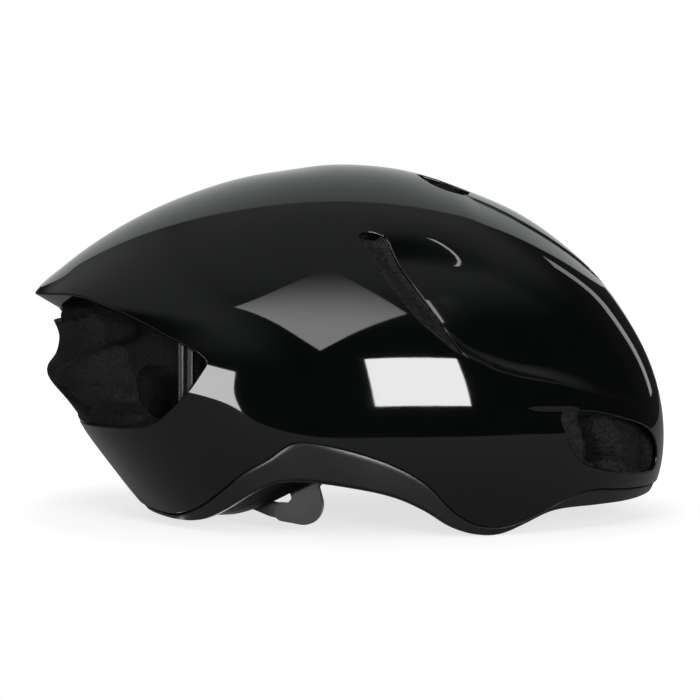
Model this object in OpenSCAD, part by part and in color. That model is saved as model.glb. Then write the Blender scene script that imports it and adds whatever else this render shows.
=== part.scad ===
/* [Shells] */
// Overall length, tail tip to brow
shell_length = 290; // [284:1:298]
// Overall width across the ears
shell_width = 208; // [204:1:214]
// Overall height, lowest point of the rim to the crown
shell_height = 161.5; // [158:0.5:166]
// Wall of the two moulded outer shells
shell_wall = 1.2; // [0.8:0.1:1.5]
// Gap between a shell and the foam behind it
bond_gap = 0.15; // [0.1:0.05:0.3]
// How far the lower shell lies behind the upper one
seam_step = 0.5; // [0.3:0.1:0.9]
// Open line between the upper and the lower shell
seam_gap = 0.7; // [0.4:0.1:0.9]
// Width of the lower shell's flange under the foam
flange_w = 8; // [5:0.5:9]
// Height of the raised panel along the front centre line
spine_h = 1.6; // [1:0.1:3.5]
// Depth of the side scoop where it meets its gill
scoop_depth = 6; // [4:0.5:8]
// Width of the bridge between the two halves of the crown vent
crown_bridge = 9; // [6:0.5:12]
// Depth of the foam's pocket behind the rear window
pocket_depth = 12; // [8:0.5:14]
// Thickness of the struts in the rear window
strut_t = 2; // [1.5:0.1:3]

/* [Head cavity] */
// Length of the head cavity in the foam
cavity_length = 194; // [190:1:197]
// Width of the head cavity in the foam
cavity_width = 158; // [154:1:160]
// Foam left above the cavity at the crown
crown_foam = 24; // [21:0.5:28]
// Width of the air channels in the cavity's roof
channel_w = 14; // [10:1:18]
// Depth of those channels
channel_depth = 6; // [4:0.5:8]
// Thickness of the comfort pads
pad_t = 6; // [4:0.5:7]
// Gap between the foam's wall and what lies on it
wall_gap = 0.4; // [0.3:0.05:0.6]

/* [Straps] */
// Width of the strap webbing
strap_w = 15; // [12:0.5:16]
// Thickness of the strap webbing
strap_t = 1.2; // [0.9:0.1:1.5]
// Length of the buckle's socket half
socket_len = 24; // [22:0.5:28]
// Width of the buckle
buckle_w = 24; // [22:0.5:28]
// Thickness of the buckle
buckle_t = 8; // [7:0.25:9]

/* [Fit ring] */
// Diameter of the two pins that the ring tilts on
pivot_d = 6; // [5:0.25:7]
// Thickness of the ring's arms
arm_t = 2.2; // [1.6:0.1:2.6]
// Width of the arms above the corner
arm_w = 13.7; // [11:0.5:15]
// Thickness of the belts behind the arms
belt_t = 1.4; // [1:0.1:1.8]
// Half the width of the dial's housing
housing_half_w = 25; // [24:0.5:27]
// Height of the dial's housing
housing_h = 22; // [21:0.5:25]
// Wall of the housing and its cover
housing_wall = 1.2; // [1:0.1:1.6]
// Diameter over the dial's grip
dial_d = 26; // [24:0.5:28]
// Thickness of the dial
dial_t = 5; // [4:0.25:6]
// Module of the pinion and the two racks
gear_module = 0.8; // [0.7:0.05:0.9]
// Running clearance around the pins and the pinion's shaft
run_gap = 0.06; // [0.03:0.01:0.1]

/* [Hidden] */
$fn = 48;

// Colours
gloss_black = [0.03, 0.03, 0.03];
satin_black = [0.07, 0.07, 0.07];
foam_grey = [0.16, 0.16, 0.17];
pad_black = [0.05, 0.05, 0.06];
webbing_black = [0.08, 0.08, 0.08];
nylon_black = [0.06, 0.06, 0.06];
rubber_grey = [0.12, 0.12, 0.13];
steel_grey = [0.55, 0.55, 0.57];

// Grid of the shell surfaces: columns round the crown, rows down to the seam and to the rim
columns = 80;
upper_rows = 14;
lower_rows = 3;
cavity_rows = 11;

// Side profile of the outer form in millimetres at its drawn size, stretched to the sizes above
drawn_length = 290.7;
drawn_height = 161.5;
// Reach ahead of the widest station, by depth below the crown
brow_profile = [[0, 0], [1.5, 22.5], [4, 35], [11.5, 57], [21, 79.5], [36, 101.8], [50.5, 117.6],
    [65.5, 129], [82.8, 139.3], [98, 145.3], [112.5, 148.4], [125.5, 149.2], [139, 148],
    [149, 144.5], [161.5, 135]];
// Reach behind the widest station, by depth below the crown
tail_profile = [[0, 0], [2, 20.5], [5.5, 42.5], [12, 65], [20.7, 86.5], [32.5, 108], [46.2, 127],
    [60, 141.5], [74, 138], [88, 137.5], [97, 136], [107, 127.5], [116, 121], [123, 117],
    [144, 101], [155, 92], [161.5, 86]];
// Height of the seam between the shells, from the tail forward
seam_line = [[-112, 9], [-90, 7.5], [-80, 7], [-69, 11.5], [-58, 20], [-48, 29], [-36, 36],
    [-27, 42.5], [-20, 43.8], [0, 40], [20, 33], [35, 24], [45, 13], [56, 6], [70, 5], [85, 10.5],
    [97, 16.5], [108, 19.5], [125, 18], [146, 17]];
// Height of the bottom edge, from the tail forward
rim_line = [[-112, 6], [-90, 4.6], [-78, 4], [-68, 5], [-57, 10.5], [-44, 19], [-33, 24.2],
    [-20, 25], [0, 22.5], [20, 18], [35, 11], [46, 4], [57, 0.4], [67, 0.5], [78, 5], [90, 10.2],
    [110, 11], [130, 11.5], [146, 14]];
// Upper and lower edge of the rear window, from the tail forward
window_top = [[-160, 103], [-146, 103], [-135, 104.5], [-121, 105], [-111, 102], [-97, 97],
    [-83, 90], [-70, 84], [-62, 77]];
window_base = [[-160, 43.5], [-125, 43.5], [-102, 45], [-91, 46], [-84, 50], [-77, 57], [-70, 64.5],
    [-62, 77]];
// Scoop ahead of the gill: its upper and lower crease by length, and the gill's edge by height
scoop_top = [[0, 138], [30, 138], [61, 132], [71, 127], [85, 119], [98, 109], [112, 93], [121, 80],
    [130, 63], [136, 52]];
scoop_base = [[0, 79], [52, 78], [61, 75], [74, 71], [92, 67], [111, 61], [125, 56], [136, 51]];
gill_edge = [[78, 52.5], [82.5, 44.8], [87, 39.6], [95, 30.4], [104.5, 21.8], [121.5, 8.9], [132, 3.4],
    [137, 1.5]];
// Width of the gill's slot ahead of its edge, by height
gill_slot = [[78, 1.2], [82, 4.2], [85, 6.2], [88, 8.8], [95, 12.6], [104.5, 14.8], [113, 15], [121.5, 14.8],
    [128, 14.4], [134, 13.6]];
// Outline of the front vent in the side view
front_vent = [[92, 54], [99, 55.5], [111, 54], [123, 50], [133, 46], [138, 41], [140.5, 33], [139.5, 25],
    [136, 22.5], [125, 24], [113, 27], [104, 30], [99, 35], [95, 44]];
// Half outline of the crown vent in the top view
crown_vent = [[30, 0], [30.5, 10], [33, 20], [38, 26.5], [44, 28], [50, 26], [54, 21], [55, 12], [55.5, 0]];
// Half width of the raised centre panel, by length
spine_edge = [[52, 21], [66, 23], [79, 22.5], [89, 19], [100, 13.5], [108, 7], [116, 0]];

function ramp(a, b, x) = let (u = min(max((x - a) / (b - a), 0), 1)) u * u * (3 - 2 * u);
function segment_of(t, x, i = 0) = i >= len(t) - 2 || x < t[i + 1][0] ? i : segment_of(t, x, i + 1);
function rise(t, i) = (t[i + 1][1] - t[i][1]) / (t[i + 1][0] - t[i][0]);
function slope_at(t, i) = i == 0 ? rise(t, 0) : i == len(t) - 1 ? rise(t, i - 1) :
    (rise(t, i - 1) * (t[i + 1][0] - t[i][0]) + rise(t, i) * (t[i][0] - t[i - 1][0]))
    / (t[i + 1][0] - t[i - 1][0]);
// Smooth curve through the points of a table
function smooth(t, x) = let (i = segment_of(t, x), h = t[i + 1][0] - t[i][0],
    u = min(max((x - t[i][0]) / h, 0), 1))
    (2 * u^3 - 3 * u^2 + 1) * t[i][1] + (u^3 - 2 * u^2 + u) * h * slope_at(t, i)
    + (3 * u^2 - 2 * u^3) * t[i + 1][1] + (u^3 - u^2) * h * slope_at(t, i + 1);
function rooted(t) = [for (p = t) [sqrt(p[0]), p[1]]];
// Side-view points at the real size
function drawn(t) = [for (p = t) [p[0] * sx, p[1] * sz]];

sx = shell_length / drawn_length;
sz = shell_height / drawn_height;
widest_x = -4.4 * sx;
widest_z = 52 * sz;
crown = [widest_x, 0, shell_height];
brow_root = rooted(brow_profile);
tail_root = rooted(tail_profile);
side_power = 2.15;
brow_power = 2.3;
rim_tuck = 0.1;

function drop_of(z) = max(0, shell_height - z) / sz;
function half_width(z) = shell_width / 2 * (z > widest_z
    ? (1 - min(1, (z - widest_z) / (shell_height - widest_z))^side_power)^(1 / side_power)
    : 1 - rim_tuck * ((widest_z - z) / widest_z)^2);
// Point of the outer form at height z, at an angle of 0 at the brow and 180 at the tail
function form_point(z, a) = let (c = cos(a), root = sqrt(drop_of(z)))
    [widest_x + sx * (c > 0 ? smooth(brow_root, root) * c^(2 / brow_power) : smooth(tail_root, root) * c),
    half_width(z) * sin(a), z];
// Height at which a column meets an edge line, found by halving
function edge_z(line, a, lo = -2, hi = 60, n = 14) = let (z = (lo + hi) / 2)
    n == 0 ? z : z > sz * smooth(line, form_point(z, a)[0] / sx)
    ? edge_z(line, a, lo, z, n - 1) : edge_z(line, a, z, hi, n - 1);
// Direction in which walls are thick: the normal of the ellipsoid nearest the form
function outward(p) = let (n = [(p[0] - widest_x) / (shell_length / 2)^2, p[1] / (shell_width / 2)^2,
    (p[2] - widest_z) / (shell_height - widest_z)^2]) n / norm(n);
function inset(p, t) = p - t * outward(p);
function inset_level(p, t) = let (n = outward(p)) p - t * [n[0], n[1], 0] / norm([n[0], n[1]]);

// Depth below the outer form: beside the raised panel, and in the scoop ahead of the gill
spine_fade = 24;
function spine_drop(x, y) = let (e = smooth(spine_edge, x / sx))
    spine_h * ramp(50 * sx, 58 * sx, x) * (1 - ramp(112 * sx, 122 * sx, x))
    * ramp(e - 1, e + 4, abs(y)) * (1 - ramp(e + 6, e + 6 + spine_fade, abs(y)));
scoop_reach = 92;
function scoop_drop(x, z) = let (u = x / sx, v = z / sz, ahead = u - smooth(gill_edge, v))
    scoop_depth * ramp(0, 13, ahead) * (1 - ramp(18, scoop_reach, ahead))
    * ramp(0, 10, v - smooth(scoop_base, u)) * ramp(0, 14, smooth(scoop_top, u) - v);
function relief(p) = spine_drop(p[0], p[1]) + scoop_drop(p[0], p[2]);
// Depth of the foam behind the rear window
function window_drop(p) = let (u = p[0] / sx, v = p[2] / sz)
    u > -60 ? 0 : pocket_depth * ramp(-142, -104, u)
    * ramp(0, 9, min(v - smooth(window_base, u), smooth(window_top, u) - v));
// Depth of the foam behind the front vent
vent_pocket = 7;
function vent_drop(p) = let (u = p[0] / sx, v = p[2] / sz)
    vent_pocket * ramp(90, 98, u) * ramp(22, 30, v) * (1 - ramp(46, 54, v)) * ramp(20, 30, abs(p[1]));

// Two triangles between four points, split along one diagonal or the other
function quad(a, b, c, d, other) = other ? [[a, b, d], [b, c, d]] : [[a, b, c], [a, c, d]];

// Solid of columns that start and end in a shared point. The split turns at row turn, so that a
// wall's two faces have the same creases, and at half the columns, so that the sides are alike
module dome_solid(p, first, last, turn) {
    n = len(p);
    m = len(p[0]);
    points = concat([first], [for (c = p) each c], [last]);
    faces = [for (c = [0 : n - 1]) let (a = 1 + c * m, b = 1 + ((c + 1) % n) * m)
        each concat([[0, b, a]],
            [for (k = [0 : m - 2]) each quad(a + k, b + k, b + k + 1, a + k + 1, (k >= turn) != (c >= n / 2))],
            [[a + m - 1, b + m - 1, 1 + n * m]])];
    polyhedron(points, faces, convexity = 8);
}

// Solid of closed sections that run in a ring
module ring_solid(p, turn) {
    n = len(p);
    m = len(p[0]);
    faces = [for (c = [0 : n - 1]) let (a = c * m, b = ((c + 1) % n) * m)
        for (k = [0 : m - 1]) let (l = (k + 1) % m)
            each quad(a + k, b + k, b + l, a + l, (k >= turn) != (c >= n / 2))];
    polyhedron([for (q = p) each q], faces, convexity = 8);
}

// Solid of closed sections that run from one end to the other
module run_solid(p) {
    n = len(p);
    m = len(p[0]);
    faces = concat([for (k = [1 : m - 2]) [0, k, k + 1]],
        [for (c = [0 : n - 2]) let (a = c * m, b = a + m)
            for (k = [0 : m - 1]) let (l = (k + 1) % m)
                each [[a + k, b + k, b + l], [a + k, b + l, a + l]]],
        [for (k = [1 : m - 2]) let (a = (n - 1) * m) [a, a + k + 1, a + k]]);
    polyhedron([for (q = p) each q], faces, convexity = 8);
}

column_angle = [for (c = [0 : columns - 1]) c * 360 / columns];
seam_z = [for (a = column_angle) edge_z(seam_line, a)];
rim_edge = [for (a = column_angle) edge_z(rim_line, a)];
rim_z = [for (z = rim_edge) z - min(rim_edge)];
function upper_point(c, r) = form_point(
    shell_height - (r / upper_rows)^2 * (shell_height - seam_z[c]), column_angle[c]);
// Point of row r between the seam and a bottom edge that lies lift above the rim
function lower_point(c, r, lift) = let (top = seam_z[c] - seam_gap)
    form_point(top + (rim_z[c] + lift - top) * r / lower_rows, column_angle[c]);
function skin_point(p, t) = inset(p, t + relief(p));

// Outline of a rectangle with round corners
corner_steps = 4;
function rounded_box(w, l, r) = [for (q = [[1, 1], [-1, 1], [-1, -1], [1, -1]], i = [0 : corner_steps])
    let (a = (q[0] * q[1] > 0 ? i : corner_steps - i) * 90 / corner_steps)
    [q[0] * (w / 2 - r + r * cos(a)), q[1] * (l / 2 - r + r * sin(a))]];

// Prism through the whole helmet with an outline in the side view
module side_prism(outline, y0, y1) {
    translate([0, y1, 0]) rotate([90, 0, 0]) linear_extrude(y1 - y0) polygon(outline);
}
module both_sides() {
    children();
    mirror([0, 1, 0]) children();
}

gill_z = [78, 80, 82, 85, 90, 95, 103, 110, 117, 124, 129, 132, 134];
gill_outline = concat([for (z = gill_z) [smooth(gill_edge, z) + smooth(gill_slot, z), z]],
    [for (i = [len(gill_z) - 1 : -1 : 0]) [smooth(gill_edge, gill_z[i]), gill_z[i]]]);
window_outline = concat(window_top, [for (i = [len(window_base) - 2 : -1 : 0]) window_base[i]]);
crown_vent_outline = [for (p = crown_vent) [p[0], max(p[1], crown_bridge / 2)]];
vent_inner_y = 24;

module upper_shell() {
    color(gloss_black)
        difference() {
            dome_solid([for (c = [0 : columns - 1])
                concat([for (r = [1 : upper_rows]) skin_point(upper_point(c, r), 0)],
                    [for (r = [upper_rows : -1 : 1]) skin_point(upper_point(c, r), shell_wall)])],
                crown, crown - [0, 0, shell_wall], upper_rows);
            side_prism(drawn(window_outline), -shell_width, shell_width);
            for (y = [[vent_inner_y, shell_width], [-shell_width, -vent_inner_y]]) {
                side_prism(drawn(gill_outline), y[0], y[1]);
                side_prism(drawn(front_vent), y[0], y[1]);
            }
            both_sides() translate([0, 0, cavity_top])
                linear_extrude(shell_height) polygon([for (p = crown_vent_outline) [p[0] * sx, p[1]]]);
        }
}

function flange_point(c, lift, w) = inset_level(lower_point(c, lower_rows, lift), seam_step + w);

module lower_shell() {
    color(satin_black)
        ring_solid([for (c = [0 : columns - 1])
            concat([for (r = [0 : lower_rows]) inset_level(lower_point(c, r, 0), seam_step)],
                [flange_point(c, 0, flange_w), flange_point(c, shell_wall, flange_w)],
                [for (r = [lower_rows : -1 : 0])
                    inset_level(lower_point(c, r, shell_wall), seam_step + shell_wall)])], lower_rows + 2);
}

// Head cavity: an oval wall up to the widest height, and half an ellipsoid above it
cavity_x = 16.5;
cavity_z = 52;
cavity_top = shell_height - crown_foam;
cavity_half = [cavity_length / 2, cavity_width / 2, cavity_top - cavity_z];
function cavity_scale(z) = sqrt(1 - min(1, max(0, z - cavity_z) / cavity_half[2])^2);
function cavity_point(z, a) = [cavity_x + cavity_half[0] * cavity_scale(z) * cos(a),
    cavity_half[1] * cavity_scale(z) * sin(a), z];
function cavity_normal(p) = let (n = [(p[0] - cavity_x) / cavity_half[0]^2, p[1] / cavity_half[1]^2,
    max(0, p[2] - cavity_z) / cavity_half[2]^2]) n / norm(n);
// The point moved out to the cavity's wall, and back from it by t
function on_wall(p, t) = let (dz = p[2] - cavity_z,
    k = norm([(p[0] - cavity_x) / cavity_half[0], p[1] / cavity_half[1], max(0, dz) / cavity_half[2]]),
    q = [cavity_x + (p[0] - cavity_x) / k, p[1] / k, dz > 0 ? cavity_z + dz / k : p[2]])
    q - t * cavity_normal(q);
// Point of the wall in the side view, at length x and height z
function wall_at(x, z, side, t = 0) = let (s = cavity_scale(z),
    q = [x, side * cavity_half[1] * sqrt(max(0, s^2 - ((x - cavity_x) / cavity_half[0])^2)), z])
    q - t * cavity_normal(q);
// Places its child with Z along the wall's outward normal and X level
module on_wall_frame(q) {
    n = cavity_normal(q);
    translate(q) rotate([0, 0, atan2(n[1], n[0])]) rotate([0, 90 - asin(n[2]), 0]) rotate([0, 0, 90]) children();
}

// Foam
foam_inset = shell_wall + bond_gap;
foam_low_inset = seam_step + foam_inset;
foam_lift = shell_wall + wall_gap;
// Air tunnels through the foam: middle, turn, tilt, [height, width, corner radius] and length of
// the exhaust behind the rear window, the intake behind the front vent and the hole in the gill
tunnels = [[[-86, 70, 62], -38, 0, [24, 24, 8], 90], [[107, 66, 40], 222, 0, [18, 12, 4], 60],
    [[6, 62, 130], 75, -38, [14, 11, 4], 60]];
// Opening under the crown vent: length, [length, width, corner radius]
crown_opening_x = 44;
crown_opening = [16, 42, 7];

module tunnel(at, turn, tilt, size, length) {
    translate([at[0] * sx, at[1], at[2] * sz]) rotate([0, 0, turn]) rotate([0, 90 + tilt, 0])
        translate([0, 0, -length / 2]) linear_extrude(length) polygon(rounded_box(size[0], size[1], size[2]));
}

// Long grooves in the cavity's roof, from the brow to the tail
channel_y = [-34, 0, 34];
channel_foot = 8;
channel_step = 10;
module channel(y) {
    s = sqrt(1 - (y / cavity_half[1])^2);
    rx = cavity_half[0] * s - channel_depth;
    rz = cavity_half[2] * s + channel_depth - channel_foot;
    translate([0, y + channel_w / 2, 0]) rotate([90, 0, 0]) linear_extrude(channel_w)
        polygon([for (a = [0 : channel_step : 180])
            [cavity_x + rx * cos(a), cavity_z + channel_foot + rz * sin(a)]]);
}

// Room in the foam for the belts and the dial as the ring tilts: an outline in the side view for each
belt_room = 4.5;
pocket_foot = -6;
pocket_top_rise = 22;
belt_pocket = [[-38, 0], [-66, 0], [-75, 23], [-100, 23]];
dial_pocket_outline = [[-50, 0], [-90, 0], [-93, 14], [-100, 30]];
pocket_side_gap = 1.5;
function pocket_outline(t) = let (top = ring_z + pocket_top_rise, last = len(t) - 1)
    concat([for (p = t) p + [0, pocket_foot]], [[t[last][0], top], [t[0][0], top]]);
module dial_pocket() {
    intersection() {
        translate([0, 0, pocket_foot]) linear_extrude(ring_z + pocket_top_rise - pocket_foot) hull()
            both_sides() for (i = [belt_start : len(ring_path) - 1])
                translate([ring_path[i][0], ring_path[i][1]]) circle(belt_room);
        side_prism(pocket_outline(belt_pocket), -shell_width, shell_width);
    }
    pocket_half_w = housing_half_w + pocket_side_gap;
    side_prism(pocket_outline(dial_pocket_outline), -pocket_half_w, pocket_half_w);
}

module eps_liner() {
    color(foam_grey)
        difference() {
            dome_solid([for (c = [0 : columns - 1])
                concat([for (r = [1 : upper_rows - 1]) let (p = upper_point(c, r))
                        inset(p, foam_inset + relief(p) + window_drop(p) + vent_drop(p))],
                    [for (r = [0 : lower_rows]) inset_level(lower_point(c, r, foam_lift), foam_low_inset)],
                    [flange_point(c, foam_lift, flange_w + wall_gap)],
                    [cavity_point(rim_z[c] + foam_lift, column_angle[c])],
                    [for (r = [0 : cavity_rows - 1])
                        cavity_point(cavity_z + cavity_half[2] * sin(90 * r / cavity_rows), column_angle[c])])],
                crown - [0, 0, foam_inset], [cavity_x, 0, cavity_top], upper_rows + lower_rows);
            for (y = channel_y) channel(y);
            both_sides() {
                for (t = tunnels) tunnel(t[0], t[1], t[2], t[3], t[4]);
                pivot_recess();
                anchor_recess(front_anchor);
                anchor_recess(rear_anchor);
                strut_bars(wall_gap);
            }
            translate([crown_opening_x * sx, 0, cavity_z + cavity_half[2] / 2]) linear_extrude(shell_height)
                polygon(rounded_box(crown_opening[0], crown_opening[1], crown_opening[2]));
            dial_pocket();
        }
}

// Upright struts in the front corner of the rear window, held behind its edges by the shell
strut_x = [-74.3, -70.3];
strut_depth = 3;
strut_hold = 3;
function tail_y(x, z) = half_width(z)
    * sqrt(1 - ((x - widest_x) / (sx * smooth(tail_root, sqrt(drop_of(z)))))^2);
module strut_bars(grow) {
    for (u = strut_x)
        let (x = u * sx, skin = shell_wall + strut_t / 2 + bond_gap - grow,
            zs = [sz * smooth(window_base, u) - strut_hold - grow, sz * smooth(window_top, u) + strut_hold + grow],
            outer = [for (z = zs) [tail_y(x, z) - skin, z]])
            translate([x + strut_t / 2 + grow, 0, 0]) rotate([90, 0, -90]) linear_extrude(strut_t + 2 * grow)
                mirror([1, 0]) polygon(concat(outer, [for (i = [1, 0]) outer[i] - [strut_depth + 2 * grow, 0]]));
}
module rear_vent_struts() {
    color(satin_black) both_sides() strut_bars(0);
}

// Comfort pads: crowned slabs on the cavity's wall
pad_edge = 2;
pad_steps = 8;
function pad_rise(u, v) = pad_edge + (pad_t - pad_edge) * sqrt(max(0, (1 - u^4) * (1 - v^4)));
module pad(grid) {
    n = pad_steps;
    m = n + 1;
    us = [for (i = [0 : n]) -1 + 2 * i / n];
    function at(i, j) = let (u = us[i], v = us[j]) grid(u * (1 - 0.07 * v^4), v * (1 - 0.07 * u^4));
    back = [for (i = [0 : n], j = [0 : n]) on_wall(at(i, j), wall_gap)];
    face = [for (i = [0 : n], j = [0 : n]) on_wall(at(i, j), wall_gap + pad_rise(us[i], us[j]))];
    k = m * m;
    sheet = [for (i = [0 : n - 1], j = [0 : n - 1]) let (a = i * m + j)
        each [[a, a + m, a + m + 1], [a, a + m + 1, a + 1]]];
    border = concat([for (j = [0 : n - 1]) [j, j + 1]], [for (i = [0 : n - 1]) [i * m + n, (i + 1) * m + n]],
        [for (j = [n : -1 : 1]) [n * m + j, n * m + j - 1]], [for (i = [n : -1 : 1]) [i * m, (i - 1) * m]]);
    polyhedron(concat(back, face), concat([for (f = sheet) [f[2], f[1], f[0]]],
        [for (f = sheet) [f[0] + k, f[1] + k, f[2] + k]],
        [for (e = border) each [[e[1], e[0], e[0] + k], [e[1], e[0] + k, e[1] + k]]]), convexity = 4);
}
// Wall pad between two angles and two heights, and roof pad between two lengths
module wall_pad(a0, a1, z0, z1) {
    pad(function (u, v) cavity_point((z0 + z1) / 2 + v * (z1 - z0) / 2, (a0 + a1) / 2 + u * (a1 - a0) / 2));
}
module roof_pad(x0, x1, w) {
    pad(function (u, v) let (x = (x0 + x1) / 2 - u * (x1 - x0) / 2, y = v * w / 2)
        [x, y, cavity_z + cavity_half[2] * sqrt(1 - ((x - cavity_x) / cavity_half[0])^2 - (y / cavity_half[1])^2)]);
}

module brow_pad() { color(pad_black) wall_pad(-46, 46, 16, 33); }
module front_crown_pad() { color(pad_black) roof_pad(60, 90, 46); }
module rear_crown_pad() { color(pad_black) roof_pad(-46, -2, 46); }
module side_pad(side) { color(pad_black) wall_pad(side > 0 ? 88 : -105, side > 0 ? 105 : -88, 40, 80); }
module nape_pad(side) { color(pad_black) wall_pad(side > 0 ? 152 : -174, side > 0 ? 174 : -152, ring_z + 27, ring_z + 62); }

// Straps, tucked up along the cavity's wall: front and rear strap, divider and chin strap
front_anchor = [48, 36];
rear_anchor = [-42, 66];
divider = [14, 112];
anchor_size = [19, 9, 3];
divider_size = [22, 24, 3.6];
// The straps end under the divider, which bridges the hollow of the wall
divider_lift = wall_gap + strap_t + 0.1 + (divider_size[0]^2 + divider_size[1]^2) / 8 / cavity_half[1];
side_strap_end = 11;
chin_strap_end = 8;

module anchor_box(place, grow) {
    on_wall_frame(wall_at(place[0], place[1], 1))
        translate([0, 0, anchor_size[2] / 2 + wall_gap / 2])
            cube(anchor_size + [2, 2, 2] * grow, center = true);
}
module anchor_recess(place) {
    anchor_box(place, wall_gap);
}
module strap_anchors() {
    color(nylon_black) both_sides() {
        anchor_box(front_anchor, 0);
        anchor_box(rear_anchor, 0);
    }
}

// Webbing between two points of the wall, with its edges laid on the wall too
module webbing(p, q, steps) {
    mid = [for (i = [0 : steps]) on_wall(p + (q - p) * i / steps, 0)];
    run_solid([for (i = [0 : steps]) let (along = mid[min(i + 1, steps)] - mid[max(i - 1, 0)],
        n = cavity_normal(mid[i]), across = cross(along, n) / norm(cross(along, n)))
        concat([for (s = [-1, 0, 1]) on_wall(mid[i] + across * s * strap_w / 2, wall_gap)],
            [for (s = [1, 0, -1]) on_wall(mid[i] + across * s * strap_w / 2, wall_gap + strap_t)])]);
}
divider_at = wall_at(divider[0], divider[1], 1);
function toward(p, q, d) = p + (q - p) * d / norm(q - p);
module side_strap(place) {
    start = wall_at(place[0], place[1], 1);
    color(webbing_black)
        webbing(toward(start, divider_at, anchor_size[1] / 2 + 1), toward(divider_at, start, side_strap_end), 8);
}
slot_l = strap_w + 1;
slot_w = 2 * strap_t + 0.4;
module strap_divider() {
    slot_y = divider_size[1] / 2 - slot_w / 2 - 3.6;
    color(nylon_black)
        on_wall_frame(divider_at) translate([0, 0, -divider_lift - divider_size[2] / 2])
            difference() {
                cube(divider_size, center = true);
                for (y = [-slot_y, slot_y]) translate([0, y, 0])
                    cube([slot_l, slot_w, divider_size[2] + 2], center = true);
            }
}
// Left end of the buckle, where the left chin strap turns round its bar
buckle_y = 22;
bar_w = 2.7;
module chin_strap() {
    end = on_wall([divider[0], buckle_y - 3, cavity_top], 0);
    color(webbing_black) webbing(toward(divider_at, end, chin_strap_end), end, 6);
}
keeper_y = 33;
keeper_wall = 0.7;
keeper_w = 5;
module strap_keeper() {
    p = on_wall([divider[0], keeper_y, cavity_top - cavity_half[2] / 10], 0);
    hole = [slot_l, strap_t + 2 * wall_gap];
    color(rubber_grey)
        on_wall_frame(p) translate([0, 0, -wall_gap - strap_t / 2]) rotate([90, 0, 0])
            linear_extrude(keeper_w, center = true) difference() {
                square(hole + 2 * [keeper_wall + wall_gap, keeper_wall], center = true);
                square(hole, center = true);
            }
}

// Side-release buckle at the crown, along Y: the socket on the left, the plug on the right
buckle_x = divider[0];
buckle_top = cavity_z + cavity_half[2] * sqrt(1 - ((buckle_y + 1) / cavity_half[1])^2)
    - wall_gap - strap_t - 0.6;
buckle_z = buckle_top - buckle_t / 2;
mouth_y = buckle_y - socket_len;
wall = 1.4;
prong_w = 4.5;
prong_len = 16;
prong_root = 3.2;
prong_t = buckle_t - 2 * wall - 0.8;
catch_x = 1.6;
catch_y = 10;
catch_len = 7;
prong_x = buckle_w / 2 - wall - prong_w / 2 - catch_x;
guide_w = 5;
plug_len = 16;
plug_gap = 0.4;
corner = 3;

module rounded_slab(w, l, t, r) {
    linear_extrude(t, center = true) polygon(rounded_box(w, l, r));
}
module buckle_socket() {
    color(nylon_black) translate([buckle_x, 0, buckle_z])
        difference() {
            translate([0, (buckle_y + mouth_y) / 2, 0]) rounded_slab(buckle_w, socket_len, buckle_t, corner);
            translate([-(buckle_w / 2 - wall), mouth_y - 1, -buckle_t / 2 + wall])
                cube([buckle_w - 2 * wall, prong_len + 2, buckle_t - 2 * wall]);
            for (i = [-1, 1]) translate([i * buckle_w / 2, mouth_y + catch_y, 0])
                cube([2 * (wall + catch_x), catch_len + 2, buckle_t - 2 * wall], center = true);
            strap_slot(buckle_y - bar_w);
        }
}
// Slot for the webbing, with its bar's side at y
module strap_slot(y) {
    translate([0, y - slot_w / 2, 0]) cube([slot_l, slot_w, buckle_t + 2], center = true);
}
module buckle_plug() {
    front_y = mouth_y - plug_gap;
    back_y = front_y - plug_len;
    root_l = prong_root - plug_gap + 0.8;
    color(nylon_black) translate([buckle_x, 0, buckle_z]) {
        difference() {
            translate([0, (front_y + back_y) / 2, 0]) rounded_slab(buckle_w, plug_len, buckle_t, corner);
            strap_slot(back_y + bar_w + slot_w);
            for (i = [-1, 1]) translate([i * prong_x, front_y + 1 - root_l / 2 - 0.5, 0])
                cube([prong_w + 1.4, root_l + 1, prong_t + 0.6], center = true);
        }
        translate([-guide_w / 2, mouth_y - 1, -prong_t / 2]) cube([guide_w, prong_len, prong_t]);
    }
}
// Springy prong of the plug, with the catch that shows in the socket's side
module buckle_prong(side) {
    color(nylon_black) translate([buckle_x, 0, buckle_z]) {
        translate([side * prong_x - prong_w / 2, mouth_y - prong_root, -prong_t / 2])
            cube([prong_w, prong_len + 2, prong_t]);
        translate([side * (prong_x + prong_w / 2), mouth_y + catch_y, 0])
            cube([2 * catch_x, catch_len, prong_t], center = true);
    }
}

// Fit ring: two arms on pins in the foam, belts to the dial at the nape
pivot = [-21, 56];
pivot_y = cavity_half[1] * sqrt(1 - ((pivot[0] - cavity_x) / cavity_half[0])^2);
arm_y = pivot_y - 3.8;
arm_turn = 18;
pin_y = pivot_y - 6.4;
flange_r = 9;
boss_r = pivot_d / 2 + 4;
module cylinder_y(r, y0, y1) {
    translate([0, y1, 0]) rotate([90, 0, 0]) cylinder(r = r, h = y1 - y0);
}
module pivot_recess() {
    translate([pivot[0], 0, pivot[1]]) cylinder_y(flange_r + 0.4, pivot_y - 8, pivot_y + 3.4);
}
module pivot_anchor() {
    color(nylon_black) translate([pivot[0], 0, pivot[1]]) {
        cylinder_y(flange_r, pivot_y + 0.6, pivot_y + 3);
        cylinder_y(pivot_d / 2, pin_y, pivot_y + 1);
        cylinder_y(pivot_d / 2 + 1.4, pin_y - 1.2, pin_y);
    }
}
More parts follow.
